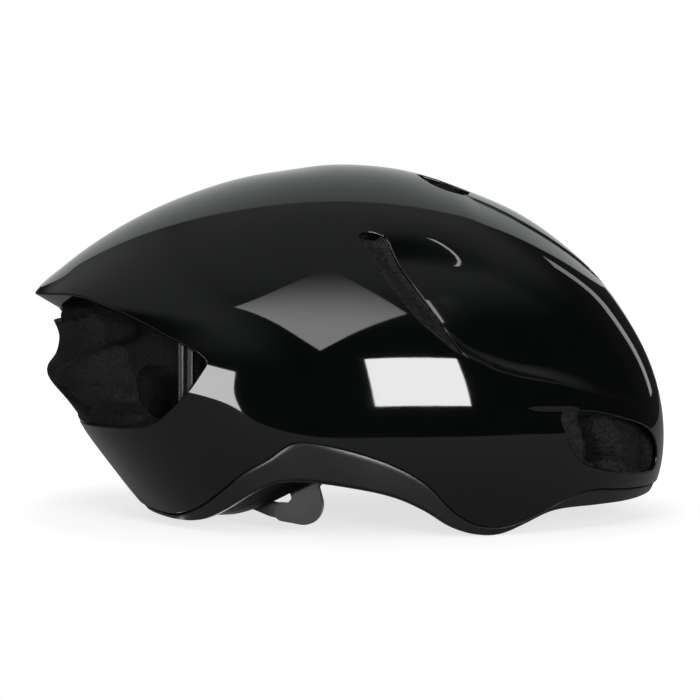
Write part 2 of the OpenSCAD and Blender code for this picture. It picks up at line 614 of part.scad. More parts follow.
// Side view of an arm, about its pivot: down to the round corner below the rim, then back
arm_drop = 52.7;
corner_r = 9.2;
corner_x = 0.5;
heel = [-9, 5.3];
heel_r = 4;
knee_drop = 33;
arm_window = [[-7.4, 22.5], [-6.9, 19.7], [-5.8, 14.7], [-4.9, 11.6], [-6.6, 9.6], [-12, 9.7], [-22, 10.6],
    [-22, 22.5]];
module arm_outline() {
    corner = [corner_x, corner_r - arm_drop];
    difference() {
        union() {
            hull() {
                circle(boss_r);
                translate([0, -knee_drop]) circle(arm_w / 2);
            }
            hull() {
                translate([0, -knee_drop]) circle(arm_w / 2);
                translate(corner) circle(corner_r);
            }
            hull() {
                translate(corner) circle(corner_r);
                translate([heel[0], heel[1] - arm_drop]) circle(heel_r);
            }
        }
        polygon([for (q = arm_window) [q[0], q[1] - arm_drop]]);
    }
}
// Belt of the fit ring on one side: length, share of the way from the housing's end out to the arm,
// height of its middle, and its depth
ring_table = [[-29, 0.926, 8.5, 7.3], [-36, 0.853, 10, 7], [-42, 0.767, 11.6, 6], [-48, 0.672, 13.4, 5],
    [-60, 0.579, 17.5, 6], [-70, 0.454, 23, 7.5], [-77, 0.295, 28.5, 9], [-80.2, 0.136, 31.4, 9]];
ring_path = [for (p = ring_table) [p[0], housing_half_w + p[1] * (arm_y - housing_half_w), p[2], p[3]]];
belt_start = 3;

// Strip along a path of the ring: its plan, cut to its height in the side view
module ring_run(path) {
    last = len(path) - 1;
    plan = [for (i = [0 : last]) let (o = path[max(i - 1, 0)], q = path[min(i + 1, last)],
        d = [q[0] - o[0], q[1] - o[1]], n = [-d[1], d[0]] / norm(d) * belt_t / 2)
        [[path[i][0] + n[0], path[i][1] + n[1]], [path[i][0] - n[0], path[i][1] - n[1]]]];
    tall = [for (i = [0 : last]) let (x = path[i][0] + (i == 0 ? belt_t : i == last ? -belt_t : 0))
        [[x, path[i][2] + path[i][3] / 2], [x, path[i][2] - path[i][3] / 2]]];
    intersection() {
        linear_extrude(ring_z + housing_h) polygon(concat([for (p = plan) p[0]],
            [for (i = [last : -1 : 0]) plan[i][1]]));
        side_prism(concat([for (p = tall) p[0]], [for (i = [last : -1 : 0]) tall[i][1]]), 0, shell_width);
    }
}
module ring_arm() {
    color(nylon_black) difference() {
        union() {
            translate([pivot[0], arm_y, pivot[1]]) rotate([0, 0, arm_turn]) rotate([90, 0, 0])
                linear_extrude(arm_t, center = true) arm_outline();
            translate([pivot[0], 0, pivot[1]]) cylinder_y(boss_r, pin_y + 0.3, pivot_y + 0.3);
            ring_run([for (i = [0 : belt_start]) ring_path[i]]);
        }
        translate([pivot[0], 0, pivot[1]]) cylinder_y(pivot_d / 2 + run_gap, pin_y - 1, pivot_y + 2);
    }
}
module ring_belt() {
    end = [housing_x - 1, housing_half_w + 0.3, ring_z, 9];
    color(nylon_black) ring_run(concat([for (i = [belt_start : len(ring_path) - 1])
        i == belt_start ? ring_path[i] - [0.4, 0.3, 0, 0] : ring_path[i]], [end]));
}

// Dial unit at the nape, along X: pad, cover, housing with the racks, ratchet ring and dial
ring_z = 32;
housing_x = -79.5;
teeth = 8;
pitch_r = gear_module * teeth / 2;
tooth_pitch = PI * gear_module;
slot_h = 2 * (pitch_r + 3.6);
rack_t = 3.2;
rack_gap = 0.3;
front_x = housing_x + rack_t / 2 + rack_gap;
floor_x = housing_x - rack_t / 2 - rack_gap;
back_x = floor_x - housing_wall;
ratchet_t = 1.6;
dial_x = back_x - ratchet_t - 0.3;
shaft_r = 2.4;
screw_r = 1.2;
knob_r = dial_d / 2 - 1.2;
cover_screw_r = 1;
screw_y = 16;
screw_z = (slot_h / 2 + housing_h / 2) / 2;

// Plate in the nape's plane from x0 back to x1, with rounded corners
module nape_plate(x0, x1, w, h, r) {
    translate([x0, 0, ring_z]) rotate([0, -90, 0]) linear_extrude(x0 - x1) polygon(rounded_box(h, w, r));
}
// Round part on the dial's axis from x0 back to x1
module dial_disc(r, x0, x1) {
    translate([x0, 0, ring_z]) rotate([0, -90, 0]) cylinder(r = r, h = x0 - x1);
}
module at_cover_screws() {
    for (y = [-screw_y, screw_y], z = [-screw_z, screw_z]) translate([0, y, z]) children();
}
module dial_housing() {
    color(nylon_black) difference() {
        nape_plate(front_x, back_x, 2 * housing_half_w, housing_h, 4);
        translate([floor_x, -housing_half_w - 1, ring_z - slot_h / 2])
            cube([front_x - floor_x + 1, 2 * housing_half_w + 2, slot_h]);
        dial_disc(shaft_r + run_gap, floor_x + 1, back_x - 1);
        at_cover_screws() dial_disc(cover_screw_r + 0.1, front_x + 1, back_x + 0.8);
    }
}
module housing_cover() {
    color(nylon_black) difference() {
        nape_plate(front_x + housing_wall, front_x, 2 * housing_half_w, housing_h, 4);
        at_cover_screws() dial_disc(cover_screw_r + 0.1, front_x + housing_wall + 1, front_x - 1);
    }
}
module cover_screws() {
    color(steel_grey) at_cover_screws() {
        dial_disc(cover_screw_r, front_x + housing_wall, back_x + 1);
        dial_disc(cover_screw_r + 0.8, front_x + housing_wall + 0.8, front_x + housing_wall);
    }
}
module occipital_pad() {
    color(pad_black) nape_plate(front_x + housing_wall + 4, front_x + housing_wall + 1,
        2 * housing_half_w - 4, housing_h - 3, 6);
}
ratchet_teeth = 30;
module ratchet_ring() {
    r = knob_r - 1;
    color(nylon_black) translate([back_x, 0, ring_z]) rotate([0, -90, 0])
        linear_extrude(ratchet_t) difference() {
            circle(r);
            polygon([for (i = [0 : ratchet_teeth - 1]) let (a = i * 360 / ratchet_teeth)
                each [[(r - 1) * cos(a), (r - 1) * sin(a)],
                [(r - 1.9) * cos(a + 1), (r - 1.9) * sin(a + 1)]]]);
        }
}
module dial_knob() {
    finger_r = knob_r - 3.8;
    color(nylon_black) difference() {
        union() {
            dial_disc(knob_r, dial_x, dial_x - dial_t);
            dial_disc(shaft_r + 1.6, back_x - 0.3, dial_x);
            for (a = [0, 180]) translate([dial_x, 0, ring_z]) rotate([a, 0, 0])
                translate([0, finger_r - 2, -3]) cube([ratchet_t - 0.1, 2, 6]);
        }
        dial_disc(screw_r + 0.1, back_x + 1, dial_x - dial_t - 1);
        dial_disc(2 * screw_r + 0.1, dial_x - dial_t + 1.2, dial_x - dial_t - 1);
    }
}
grip_ribs = 24;
module dial_grip() {
    color(rubber_grey) translate([dial_x - 0.5, 0, ring_z]) rotate([0, -90, 0])
        linear_extrude(dial_t - 1) difference() {
            union() {
                circle(dial_d / 2 - 0.5);
                for (i = [0 : grip_ribs - 1]) rotate(i * 360 / grip_ribs) translate([dial_d / 2 - 0.6, 0]) circle(0.6);
            }
            circle(knob_r + 0.1);
        }
}
// Straight-sided tooth outline, thinner than half a pitch so that the mesh has play
tooth_half = tooth_pitch * 0.2;
module pinion_outline() {
    circle(pitch_r - gear_module);
    for (i = [0 : teeth - 1]) rotate(i * 360 / teeth)
        polygon([[0, -tooth_half * 1.4], [pitch_r, -tooth_half], [pitch_r + gear_module * 0.8, -tooth_half * 0.4],
            [pitch_r + gear_module * 0.8, tooth_half * 0.4], [pitch_r, tooth_half], [0, tooth_half * 1.4]]);
}
module pinion() {
    color(nylon_black) difference() {
        union() {
            translate([housing_x + rack_t / 2, 0, ring_z]) rotate([0, -90, 0])
                linear_extrude(rack_t) pinion_outline();
            dial_disc(shaft_r, housing_x, back_x - 0.2);
        }
        dial_disc(screw_r + 0.1, housing_x - 1, back_x - 1);
    }
}
module dial_screw() {
    head = 1;
    color(steel_grey) {
        dial_disc(screw_r, housing_x - 1.2, dial_x - dial_t + 1.2);
        dial_disc(2 * screw_r, dial_x - dial_t + 1.2, dial_x - dial_t + 1.2 - head);
    }
}
// Rack above the pinion on the left, below it on the right, with travel left at its far end
rack_reach = 8;
rack_back = pitch_r + 3.2;
module rack(side) {
    length = housing_half_w - 1 + rack_reach;
    count = floor((length - 3) / tooth_pitch);
    root = pitch_r + gear_module;
    tip = pitch_r - gear_module * 0.8;
    outline = concat([[rack_back, -rack_reach], [root, -rack_reach]],
        [for (i = [-2 : count - 3]) let (y = (i + 0.5) * tooth_pitch)
            each [[root, y - tooth_half * 1.4], [pitch_r, y - tooth_half], [tip, y - tooth_half * 0.4],
            [tip, y + tooth_half * 0.4], [pitch_r, y + tooth_half], [root, y + tooth_half * 1.4]]],
        [[root, length - rack_reach], [rack_back, length - rack_reach]]);
    color(nylon_black) translate([housing_x, 0, ring_z]) rotate([side > 0 ? 0 : 180, 0, 0])
        translate([rack_t / 2, 0, 0]) rotate([0, -90, 0]) linear_extrude(rack_t) polygon(outline);
}

module right() { mirror([0, 1, 0]) children(); }

upper_shell();
lower_shell();
eps_liner();
rear_vent_struts();
brow_pad();
front_crown_pad();
rear_crown_pad();
side_pad(1);  // side_pad_left
side_pad(-1);  // side_pad_right
nape_pad(1);  // nape_pad_left
nape_pad(-1);  // nape_pad_right
strap_anchors();
side_strap(front_anchor);  // front_strap_left
right() side_strap(front_anchor);  // front_strap_right
side_strap(rear_anchor);  // rear_strap_left
right() side_strap(rear_anchor);  // rear_strap_right
strap_divider();  // strap_divider_left
right() strap_divider();  // strap_divider_right
chin_strap();  // chin_strap_left
right() chin_strap();  // chin_strap_right
strap_keeper();
buckle_socket();
buckle_plug();
buckle_prong(1);  // buckle_prong_front
buckle_prong(-1);  // buckle_prong_rear
pivot_anchor();  // pivot_anchor_left
right() pivot_anchor();  // pivot_anchor_right
ring_arm();  // ring_arm_left
right() ring_arm();  // ring_arm_right
ring_belt();  // ring_belt_left
right() ring_belt();  // ring_belt_right
dial_housing();
housing_cover();
cover_screws();
ratchet_ring();
occipital_pad();
dial_knob();
dial_grip();
pinion();
dial_screw();
rack(1);  // rack_left
rack(-1);  // rack_right
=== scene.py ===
"""Bicycle helmet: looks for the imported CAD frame, in metres and in its coordinates."""
import math

import bmesh
import bpy
import numpy as np
from mathutils import Matrix, Vector


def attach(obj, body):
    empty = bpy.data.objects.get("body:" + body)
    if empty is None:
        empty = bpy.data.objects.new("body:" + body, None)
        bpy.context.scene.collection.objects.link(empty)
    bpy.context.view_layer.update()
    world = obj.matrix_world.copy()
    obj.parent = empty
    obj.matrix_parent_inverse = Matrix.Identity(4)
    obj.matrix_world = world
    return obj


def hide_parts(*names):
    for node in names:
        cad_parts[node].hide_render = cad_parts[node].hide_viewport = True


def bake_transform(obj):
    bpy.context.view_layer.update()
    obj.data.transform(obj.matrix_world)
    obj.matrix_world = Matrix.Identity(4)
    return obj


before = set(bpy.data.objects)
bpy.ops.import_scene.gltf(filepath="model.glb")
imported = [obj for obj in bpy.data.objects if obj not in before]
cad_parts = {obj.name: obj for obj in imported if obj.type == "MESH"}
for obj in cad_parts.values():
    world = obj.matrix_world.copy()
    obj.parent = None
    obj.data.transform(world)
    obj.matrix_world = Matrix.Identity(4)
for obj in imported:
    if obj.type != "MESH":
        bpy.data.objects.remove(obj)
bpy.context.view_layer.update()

# Sizes, in millimetres
MM = 0.001
MERGE_DISTANCE = 1e-6
SMOOTH_ANGLE = math.radians(32)
LENGTH, WIDTH, HEIGHT = 290.0, 208.0, 161.5
SX = LENGTH / 290.7
WIDEST_X, WIDEST_Z = -4.4 * SX, 52.0
SHELL_WALL = 1.2
BOND_GAP = 0.15
SEAM_GAP, SEAM_STEP = 1.25, 0.8
FLANGE_W = 8.0
WALL_GAP = 0.4
PAD_T = 6.0
STRAP_W, STRAP_T = 15.0, 1.2
RING_Z = 32.0

# Outline tables, as in the CAD source: reach ahead of and behind the widest station by depth
BROW_PROFILE = [(0, 0), (1.5, 22.5), (4, 35), (11.5, 57), (21, 79.5), (36, 101.8), (50.5, 117.6),
                (65.5, 129), (82.8, 139.3), (98, 145.3), (112.5, 148.4), (125.5, 149.2), (139, 148),
                (149, 144.5), (161.5, 135)]
TAIL_PROFILE = [(0, 0), (2, 20.5), (5.5, 42.5), (12, 65), (20.7, 86.5), (32.5, 108), (46.2, 127),
                (60, 141.5), (74, 138), (88, 137.5), (97, 136), (107, 127.5), (116, 121), (123, 117),
                (144, 101), (155, 92), (161.5, 86)]
SEAM_LINE = [(-112, 9), (-90, 7.5), (-80, 7), (-69, 11.5), (-58, 20), (-48, 29), (-36, 36),
             (-27, 42.5), (-20, 43.8), (0, 40), (20, 33), (35, 24), (45, 13), (56, 6), (70, 5), (85, 10.5),
             (97, 16.5), (108, 19.5), (125, 18), (146, 17)]
RIM_LINE = [(-112, 6), (-90, 4.6), (-78, 4), (-68, 5), (-57, 10.5), (-44, 19), (-33, 24.2),
            (-20, 25), (0, 22.5), (20, 18), (35, 11), (46, 4), (57, 0.4), (67, 0.5), (78, 5), (90, 10.2),
            (110, 11), (130, 11.5), (146, 14)]
WINDOW_TOP = [(-160, 103), (-146, 103), (-135, 104.5), (-121, 105), (-111, 102), (-97, 97),
              (-83, 90), (-70, 84), (-62, 77)]
WINDOW_BASE = [(-160, 43.5), (-125, 43.5), (-102, 45), (-91, 46), (-84, 50), (-77, 57), (-70, 64.5),
               (-62, 77)]
SCOOP_TOP = [(0, 138), (30, 138), (61, 132), (71, 127), (85, 119), (98, 109), (112, 93), (121, 80),
             (130, 63), (136, 52)]
SCOOP_BASE = [(0, 79), (52, 78), (61, 75), (74, 71), (92, 67), (111, 61), (125, 56), (136, 51)]
GILL_EDGE = [(77, 54.5), (78, 52.5), (82.5, 44.8), (87, 39.6), (95, 30.4), (104.5, 21.8), (121.5, 8.9),
             (132, 3.4), (137, 1.5)]
GILL_SLOT = [(77, 0.6), (79, 1.8), (82, 4.2), (85, 6.2), (88, 8.8), (95, 12.6), (104.5, 14.8), (113, 15),
             (121.5, 14.8), (128, 14.4), (134, 13.6)]
GILL_TOP = [(17.2, 131.9), (16, 132.6), (10, 134.3), (4.9, 133.6), (3.4, 132.6)]
FRONT_VENT = [(92, 54), (99, 55.5), (111, 54), (123, 50), (133, 46), (138, 41), (140.5, 33), (139.5, 25),
              (136, 22.5), (125, 24), (113, 27), (104, 30), (99, 35), (95, 44)]
CROWN_VENT = [(30, 4.5), (30.5, 10), (33, 20), (38, 26.5), (44, 28), (50, 26), (54, 21), (55, 12),
              (55.5, 4.5)]
SPINE_EDGE = [(52, 21), (66, 23), (79, 22.5), (89, 19), (100, 13.5), (108, 7), (116, 0)]


# Curves and the outer form
def ramp(a, b, x):
    u = np.clip((x - a) / (b - a), 0, 1)
    return u * u * (3 - 2 * u)


def hermite(table, x):
    t = np.array(table, float)
    rise = np.diff(t[:, 1]) / np.diff(t[:, 0])
    span = np.diff(t[:, 0])
    inner = (rise[:-1] * span[:-1] + rise[1:] * span[1:]) / (span[:-1] + span[1:])
    slope = np.concatenate([rise[:1], inner, rise[-1:]])
    i = np.clip(np.searchsorted(t[:, 0], x, "right") - 1, 0, len(t) - 2)
    h = span[i]
    u = np.clip((x - t[i, 0]) / h, 0, 1)
    return ((2 * u**3 - 3 * u**2 + 1) * t[i, 1] + (u**3 - 2 * u**2 + u) * h * slope[i]
            + (3 * u**2 - 2 * u**3) * t[i + 1, 1] + (u**3 - u**2) * h * slope[i + 1])


def curve(table, soft=0.0):
    """Smooth function through a table, softened over the given width."""
    x0, x1 = table[0][0], table[-1][0]
    n = 4000
    xs = np.linspace(x0, x1, n + 1)
    ys = hermite(table, xs)
    if soft:
        step = (x1 - x0) / n
        reach = int(4 * soft / step)
        weight = np.exp(-0.5 * (np.arange(-reach, reach + 1) * step / soft) ** 2)
        before = 2 * ys[0] - ys[1:reach + 1][::-1]
        after = 2 * ys[-1] - ys[-reach - 1:-1][::-1]
        ys = np.convolve(np.concatenate([before, ys, after]), weight / weight.sum(), "valid")
    return lambda x: np.interp(x, xs, ys)


def rooted(table):
    return [(math.sqrt(p[0]), p[1]) for p in table]


brow_reach = curve(rooted(BROW_PROFILE), 0.22)
tail_reach = curve(rooted(TAIL_PROFILE), 0.12)
seam_line, rim_line = curve(SEAM_LINE, 2.0), curve(RIM_LINE, 2.0)
window_top, window_base = curve(WINDOW_TOP, 1.5), curve(WINDOW_BASE, 1.5)
scoop_top, scoop_base = curve(SCOOP_TOP, 3.0), curve(SCOOP_BASE, 3.0)
gill_edge, gill_slot = curve(GILL_EDGE, 1.5), curve(GILL_SLOT)
spine_edge = curve(SPINE_EDGE, 1.5)


def half_width(z):
    t = np.clip((z - WIDEST_Z) / (HEIGHT - WIDEST_Z), 0, 1)
    above = (1 - t**2.15) ** (1 / 2.15)
    below = 1 - 0.1 * ((WIDEST_Z - z) / WIDEST_Z) ** 2
    return WIDTH / 2 * np.where(z > WIDEST_Z, above, below)


def form(z, a):
    """Point of the helmet's outer form at a height and an angle, 0 at the brow and pi at the tail."""
    c = np.cos(a)
    root = np.sqrt(np.maximum(HEIGHT - z, 0))
    blunt = 1 - 0.13 * ramp(0, 0.6, c)
    ahead = brow_reach(root) * np.maximum(c, 0) ** blunt
    return np.stack([WIDEST_X + SX * np.where(c > 0, ahead, tail_reach(root) * c),
                     half_width(z) * np.sin(a), z], -1)


def outward(p):
    n = np.stack([(p[..., 0] - WIDEST_X) / (LENGTH / 2) ** 2, p[..., 1] / (WIDTH / 2) ** 2,
                  (p[..., 2] - WIDEST_Z) / (HEIGHT - WIDEST_Z) ** 2], -1)
    return n / np.linalg.norm(n, axis=-1, keepdims=True)


def level_outward(p):
    n = outward(p) * np.array([1, 1, 0])
    return n / np.linalg.norm(n, axis=-1, keepdims=True)


def edge_height(line, angles):
    """Height at which each column of the form meets an edge line."""
    lo, hi = np.full(angles.shape, -2.0), np.full(angles.shape, 160.0)
    for _ in range(40):
        z = (lo + hi) / 2
        above = z > line(form(z, angles)[..., 0] / SX)
        hi, lo = np.where(above, z, hi), np.where(above, lo, z)
    return (lo + hi) / 2


DENSE = np.linspace(0, 2 * math.pi, 2881)


def around(line):
    heights = edge_height(line, DENSE)
    return lambda a: np.interp(np.mod(a, 2 * math.pi), DENSE, heights)


seam_height, rim_height = around(seam_line), around(rim_line)
RIM_DROP = float(rim_height(DENSE).min())
high_line = around(lambda x: np.where(x < 30, 138, scoop_top(x)))
low_line = around(lambda x: np.where(x < 0, 79, scoop_base(x)))


# Relief of the gloss shell
SPINE_H, SPINE_REST, SPINE_FADE = 0.9, 8, 26.0
SPINE_CREASE = (-0.5, 0.4, 1.3, 2.2)
SCOOP_DEPTH, SCOOP_REACH = 6.5, 92.0
CREASE = 0.55


def spine_level(p):
    """Level distance outside the raised panel's edge."""
    return np.abs(p[..., 1]) - spine_edge(p[..., 0] / SX)


def eased(off, half):
    """Distance past a crease, with the crease itself rounded over half on each side."""
    return np.where(off > half, off, np.maximum(off + half, 0) ** 2 / (4 * half))


def spine_drop(p):
    x, off = p[..., 0] / SX, spine_level(p)
    along = ramp(48, 60, x) * (1 - ramp(106, 121, x))
    step = ramp(SPINE_CREASE[0], SPINE_CREASE[-1], off)
    return SPINE_H * along * step * (1 - ramp(SPINE_REST, SPINE_REST + SPINE_FADE, off))


def scoop_drop(p):
    u, v = p[..., 0] / SX, p[..., 2]
    ahead = u - gill_edge(v)
    base = np.clip(eased(v - scoop_base(u), CREASE) / 9, 0, 1)
    rise = 1 - (1 - base) ** 2.2
    side = ramp(22, 34, np.abs(p[..., 1]))
    return (SCOOP_DEPTH * ramp(0.4, 13, ahead) * (1 - ramp(18, SCOOP_REACH, ahead)) * rise
            * ramp(0, 16, scoop_top(u) - v) * side)


def brow_crease(p):
    """Shallow crease that runs back from the front vent's upper corner."""
    u, v = p[..., 0] / SX, p[..., 2]
    off = v - (54.5 - 0.06 * (u - 94))
    fold = np.exp(-0.5 * (off / np.where(off > 0, 1.0, 3.2)) ** 2)
    return 0.9 * fold * ramp(74, 90, u) * (1 - ramp(96, 104, u)) * ramp(22, 34, np.abs(p[..., 1]))


def shell_relief(p):
    return spine_drop(p) + scoop_drop(p) + brow_crease(p)


def rounded_outline(points, rounds=3):
    p = np.array(points, float)
    for _ in range(rounds):
        q = np.roll(p, -1, 0)
        p = np.stack([0.75 * p + 0.25 * q, 0.25 * p + 0.75 * q], 1).reshape(-1, 2)
    return p


def outline_distance(outline):
    """Signed distance to a closed outline, negative inside."""
    a, b = outline, np.roll(outline, -1, 0)

    def level(x, y):
        p = np.stack([x, y], -1).reshape(-1, 2)
        best = np.full(len(p), 1e9)
        inside = np.zeros(len(p), bool)
        for s, e in zip(a, b):
            d = e - s
            t = np.clip(((p - s) @ d) / max(d @ d, 1e-12), 0, 1)
            best = np.minimum(best, np.hypot(*(p - s - t[:, None] * d).T))
            cross = (s[1] > p[:, 1]) != (e[1] > p[:, 1])
            if d[1]:
                inside ^= cross & (p[:, 0] < s[0] + (p[:, 1] - s[1]) * d[0] / d[1])
        return np.where(inside, -best, best).reshape(np.shape(x))
    return level


GILL_HEIGHTS = [78, 79, 82, 85, 90, 95, 103, 110, 117, 124, 129, 130.6]
gill_points = [(float(gill_edge(z) + gill_slot(z)), z) for z in GILL_HEIGHTS] + GILL_TOP
gill_points += [(float(gill_edge(z)), z) for z in GILL_HEIGHTS[::-1]]
window_points = WINDOW_TOP[:-1] + [(-63.5, 79.5), (-62, 76.5), (-64, 73.5)] + WINDOW_BASE[-2::-1]
gill_distance = outline_distance(rounded_outline(gill_points, 2))
window_distance = outline_distance(rounded_outline(window_points))
vent_distance = outline_distance(rounded_outline(FRONT_VENT))
crown_distance = outline_distance(rounded_outline(CROWN_VENT))


def side_level(distance, inner_y=0.0):
    """Level of an opening that is drawn in the side view and lies beyond a width."""
    return lambda p: np.maximum(distance(p[..., 0] / SX, p[..., 2]), inner_y - np.abs(p[..., 1]))


OPENINGS = [side_level(window_distance), side_level(gill_distance, 24), side_level(vent_distance, 24),
            lambda p: np.maximum(crown_distance(p[..., 0] / SX, np.abs(p[..., 1])), 120 - p[..., 2])]


# A surface cut along curves
class Patchwork:
    """Polygons over columns and rows of a surface, cut along level lines before it gets its wall."""

    def __init__(self, columns, rows, place):
        self.columns, self.place = columns, place
        u, v = np.meshgrid(np.arange(columns, dtype=float), np.arange(1, rows + 1, dtype=float),
                           indexing="ij")
        self.u, self.v = list(u.ravel()), list(v.ravel())
        self.fixed = set()
        index = np.arange(columns * rows).reshape(columns, rows)
        nxt = np.roll(index, -1, 0)
        quads = np.stack([index[:, :-1], index[:, 1:], nxt[:, 1:], nxt[:, :-1]], -1)
        self.faces = [list(q) for q in quads.reshape(-1, 4)]
        self.pole = len(self.u)
        self.u.append(0.0)
        self.v.append(0.0)
        self.faces += [[self.pole, int(index[c, 0]), int(nxt[c, 0])] for c in range(columns)]

    def between(self, a, b, t):
        du = (self.u[b] - self.u[a] + self.columns / 2) % self.columns - self.columns / 2
        return self.u[a] + t * du, self.v[a] + t * (self.v[b] - self.v[a])

    def crossing(self, a, b, fa, fb, level):
        t = fa / (fa - fb)
        u, v = self.between(a, b, t)
        f = float(level(self.place(np.array([u]), np.array([v])))[0])
        if f * fa > 0:
            t += (1 - t) * f / (f - fb)
        elif f * fb > 0:
            t *= fa / (fa - f)
        return t

    def cut(self, level, drop):
        f = level(self.place(np.array(self.u), np.array(self.v)))
        f[np.abs(f) < 1e-7] = 0
        near = [face for face in self.faces if min(f[face]) < 0 < max(f[face])]
        self.snap(near, f, level)
        kept, made = [], {}
        for face in self.faces:
            values = f[face]
            low, high = values.min(), values.max()
            if low >= 0 or (high <= 0 and not drop):
                kept.append(face)
            elif high > 0:
                loop = self.crossed(face, f, made, level)
                kept.append([i for i, s in loop if s >= 0])
                if not drop:
                    kept.append([i for i, s in loop if s <= 0])
        self.faces = [face for face in kept if len(face) > 2]

    def snap(self, near, f, level):
        moves = {}
        for face in near:
            for a, b in zip(face, face[1:] + face[:1]):
                if a > b or f[a] * f[b] >= 0:
                    continue
                t = self.crossing(a, b, f[a], f[b], level)
                for i, share in ((a, t), (b, 1 - t)):
                    free = i not in self.fixed and i != self.pole
                    if free and share < 0.3 and share < moves.get(i, (1,))[0]:
                        moves[i] = (share, self.between(a, b, t))
        for i, (_, (u, v)) in moves.items():
            self.u[i], self.v[i], f[i] = u, v, 0
            self.fixed.add(i)

    def crossed(self, face, f, made, level):
        loop = []
        for a, b in zip(face, face[1:] + face[:1]):
            loop.append((a, f[a]))
            if f[a] * f[b] < 0:
                key = (min(a, b), max(a, b))
                if key not in made:
                    made[key] = len(self.u)
                    u, v = self.between(key[0], key[1], self.crossing(*key, f[key[0]], f[key[1]], level))
                    self.u.append(u)
                    self.v.append(v)
                    self.fixed.add(made[key])
                loop.append((made[key], 0))
        return loop

    def compact(self):
        used = sorted({i for face in self.faces for i in face})
        new = {old: i for i, old in enumerate(used)}
        self.faces = [[new[i] for i in face] for face in self.faces]
        self.u, self.v = np.array(self.u)[used], np.array(self.v)[used]
        self.pole = new.get(self.pole, -1)

    def loops(self):
        ways = {}
        for face in self.faces:
            for a, b in zip(face, face[1:] + face[:1]):
                ways[(a, b)] = True
        after = {}
        for a, b in ways:
            if (b, a) not in ways:
                after.setdefault(a, []).append(b)
        found = []
        while after:
            start = next(iter(after))
            loop, i = [], start
            while i in after:
                loop.append(i)
                step = after[i].pop()
                if not after[i]:
                    del after[i]
                i = step
            found.append(loop)
        return found


def unit(v):
    return v / np.maximum(np.linalg.norm(v, axis=-1, keepdims=True), 1e-12)


def path_length(points):
    """Distance along a path up to each of its points."""
    return np.concatenate([[0], np.cumsum(np.linalg.norm(np.diff(points, axis=0), axis=1))])


def surface_normals(skin, u, v):
    """Outward normals of skin(u, v) from small steps along columns and rows."""
    d = 0.08
    n = unit(np.cross(skin(u, v + d) - skin(u, v - d), skin(u + d, v) - skin(u - d, v)))
    return n


EDGE_STEPS = 6


HEM_TURN, HEM_LENGTH, HEM_RADIUS = 6, 7, 0.8
lip_drop = curve([(-150, 7), (-136, 7), (-128.6, 6), (-119.6, 4.2), (-111, 3.2), (-104, 2.5), (-96, 2),
                  (-60, 1.7)], 2.0)
LIP_SLOPE = 1.7


def lip_way(at, out):
    """Where the tail's lip goes behind the rear window's top edge, and how far."""
    drop = lip_drop(at[:, 0] / SX) * ramp(0.0, -0.4, out[:, 2])
    drop = np.maximum(np.convolve(np.tile(drop, 3), np.ones(9) / 9, "same")[len(at):-len(at)], 0.25)
    way = unit(-LIP_SLOPE * level_outward(at) - np.array([0, 0, 1]))
    way = np.where(out[:, 2:] > 0, unit(-level_outward(at) + 0.4 * out), way)
    return way, drop * math.hypot(1, LIP_SLOPE)


def hemmed(at, out, along):
    """Rows of a lip behind an edge: it turns in over a small radius, then runs straight."""
    way, length = lip_way(at, out)
    angle = np.arccos(np.clip((out * way).sum(1), -1, 1))[:, None]
    rows, spot = [], at
    for k in range(1, HEM_TURN + 1):
        t = k / HEM_TURN
        ahead = unit((np.sin((1 - t) * angle) * out + np.sin(t * angle) * way) / np.sin(angle))
        spot = spot + ahead * HEM_RADIUS * angle / HEM_TURN
        rows.append((spot, unit(np.cross(ahead, along))))
    flat = rows[-1][1]
    for k in range(1, HEM_LENGTH + 1):
        rows.append((spot + way * (length * k / HEM_LENGTH)[:, None], flat))
    return rows, way


def walled(patch, skin, wall, is_hemmed=lambda at: False):
    """Closed wall behind a cut surface, with round edges at every opening: points, faces, normals."""
    p, n = skin(patch.u, patch.v), surface_normals(skin, patch.u, patch.v)
    if patch.pole >= 0:
        n[patch.pole] = (0, 0, 1)
    count = len(p)
    points, normals = [p, p - wall * n], [n, -n]
    faces = [list(f) for f in patch.faces] + [[i + count for i in f[::-1]] for f in patch.faces]
    total = 2 * count
    for loop in patch.loops():
        at, up = p[loop], n[loop]
        along = unit(np.roll(at, -1, 0) - np.roll(at, 1, 0))
        out = unit(np.cross(along, up))
        rows = []
        if is_hemmed(at):
            rows, out = hemmed(at, out, along)
            at, up = rows[-1]
        back = [(q - wall * m, -m) for q, m in rows[::-1]]
        for k in range(1, EDGE_STEPS):
            turn = math.pi * k / EDGE_STEPS
            rows.append((at + wall / 2 * (math.sin(turn) * out - (1 - math.cos(turn)) * up),
                         math.cos(turn) * up + math.sin(turn) * out))
        rings = [list(loop)]
        for spot, facing in rows + back:
            points.append(spot)
            normals.append(facing)
            rings.append(list(range(total, total + len(loop))))
            total += len(loop)
        rings.append([i + count for i in loop])
        for first, second in zip(rings, rings[1:]):
            for k in range(len(loop)):
                m = (k + 1) % len(loop)
                faces.append([first[m], first[k], second[k], second[m]])
    return np.concatenate(points), faces, np.concatenate(normals)


def make_object(name, points, faces, normals=None, smooth=True):
    mesh = bpy.data.meshes.new(name)
    mesh.from_pydata((np.asarray(points) * MM).tolist(), [], [list(map(int, f)) for f in faces])
    mesh.polygons.foreach_set("use_smooth", [smooth] * len(mesh.polygons))
    if normals is not None:
        mesh.normals_split_custom_set_from_vertices(np.asarray(normals).tolist())
    mesh.update()
    obj = bpy.data.objects.new(name, mesh)
    bpy.context.scene.collection.objects.link(obj)
    return obj


# The two outer shells
SHELL_COLUMNS = 352
ROWS_CROWN, ROWS_SIDE, ROWS_LOW = 38, 48, 34
SHELL_ROWS = ROWS_CROWN + ROWS_SIDE + ROWS_LOW


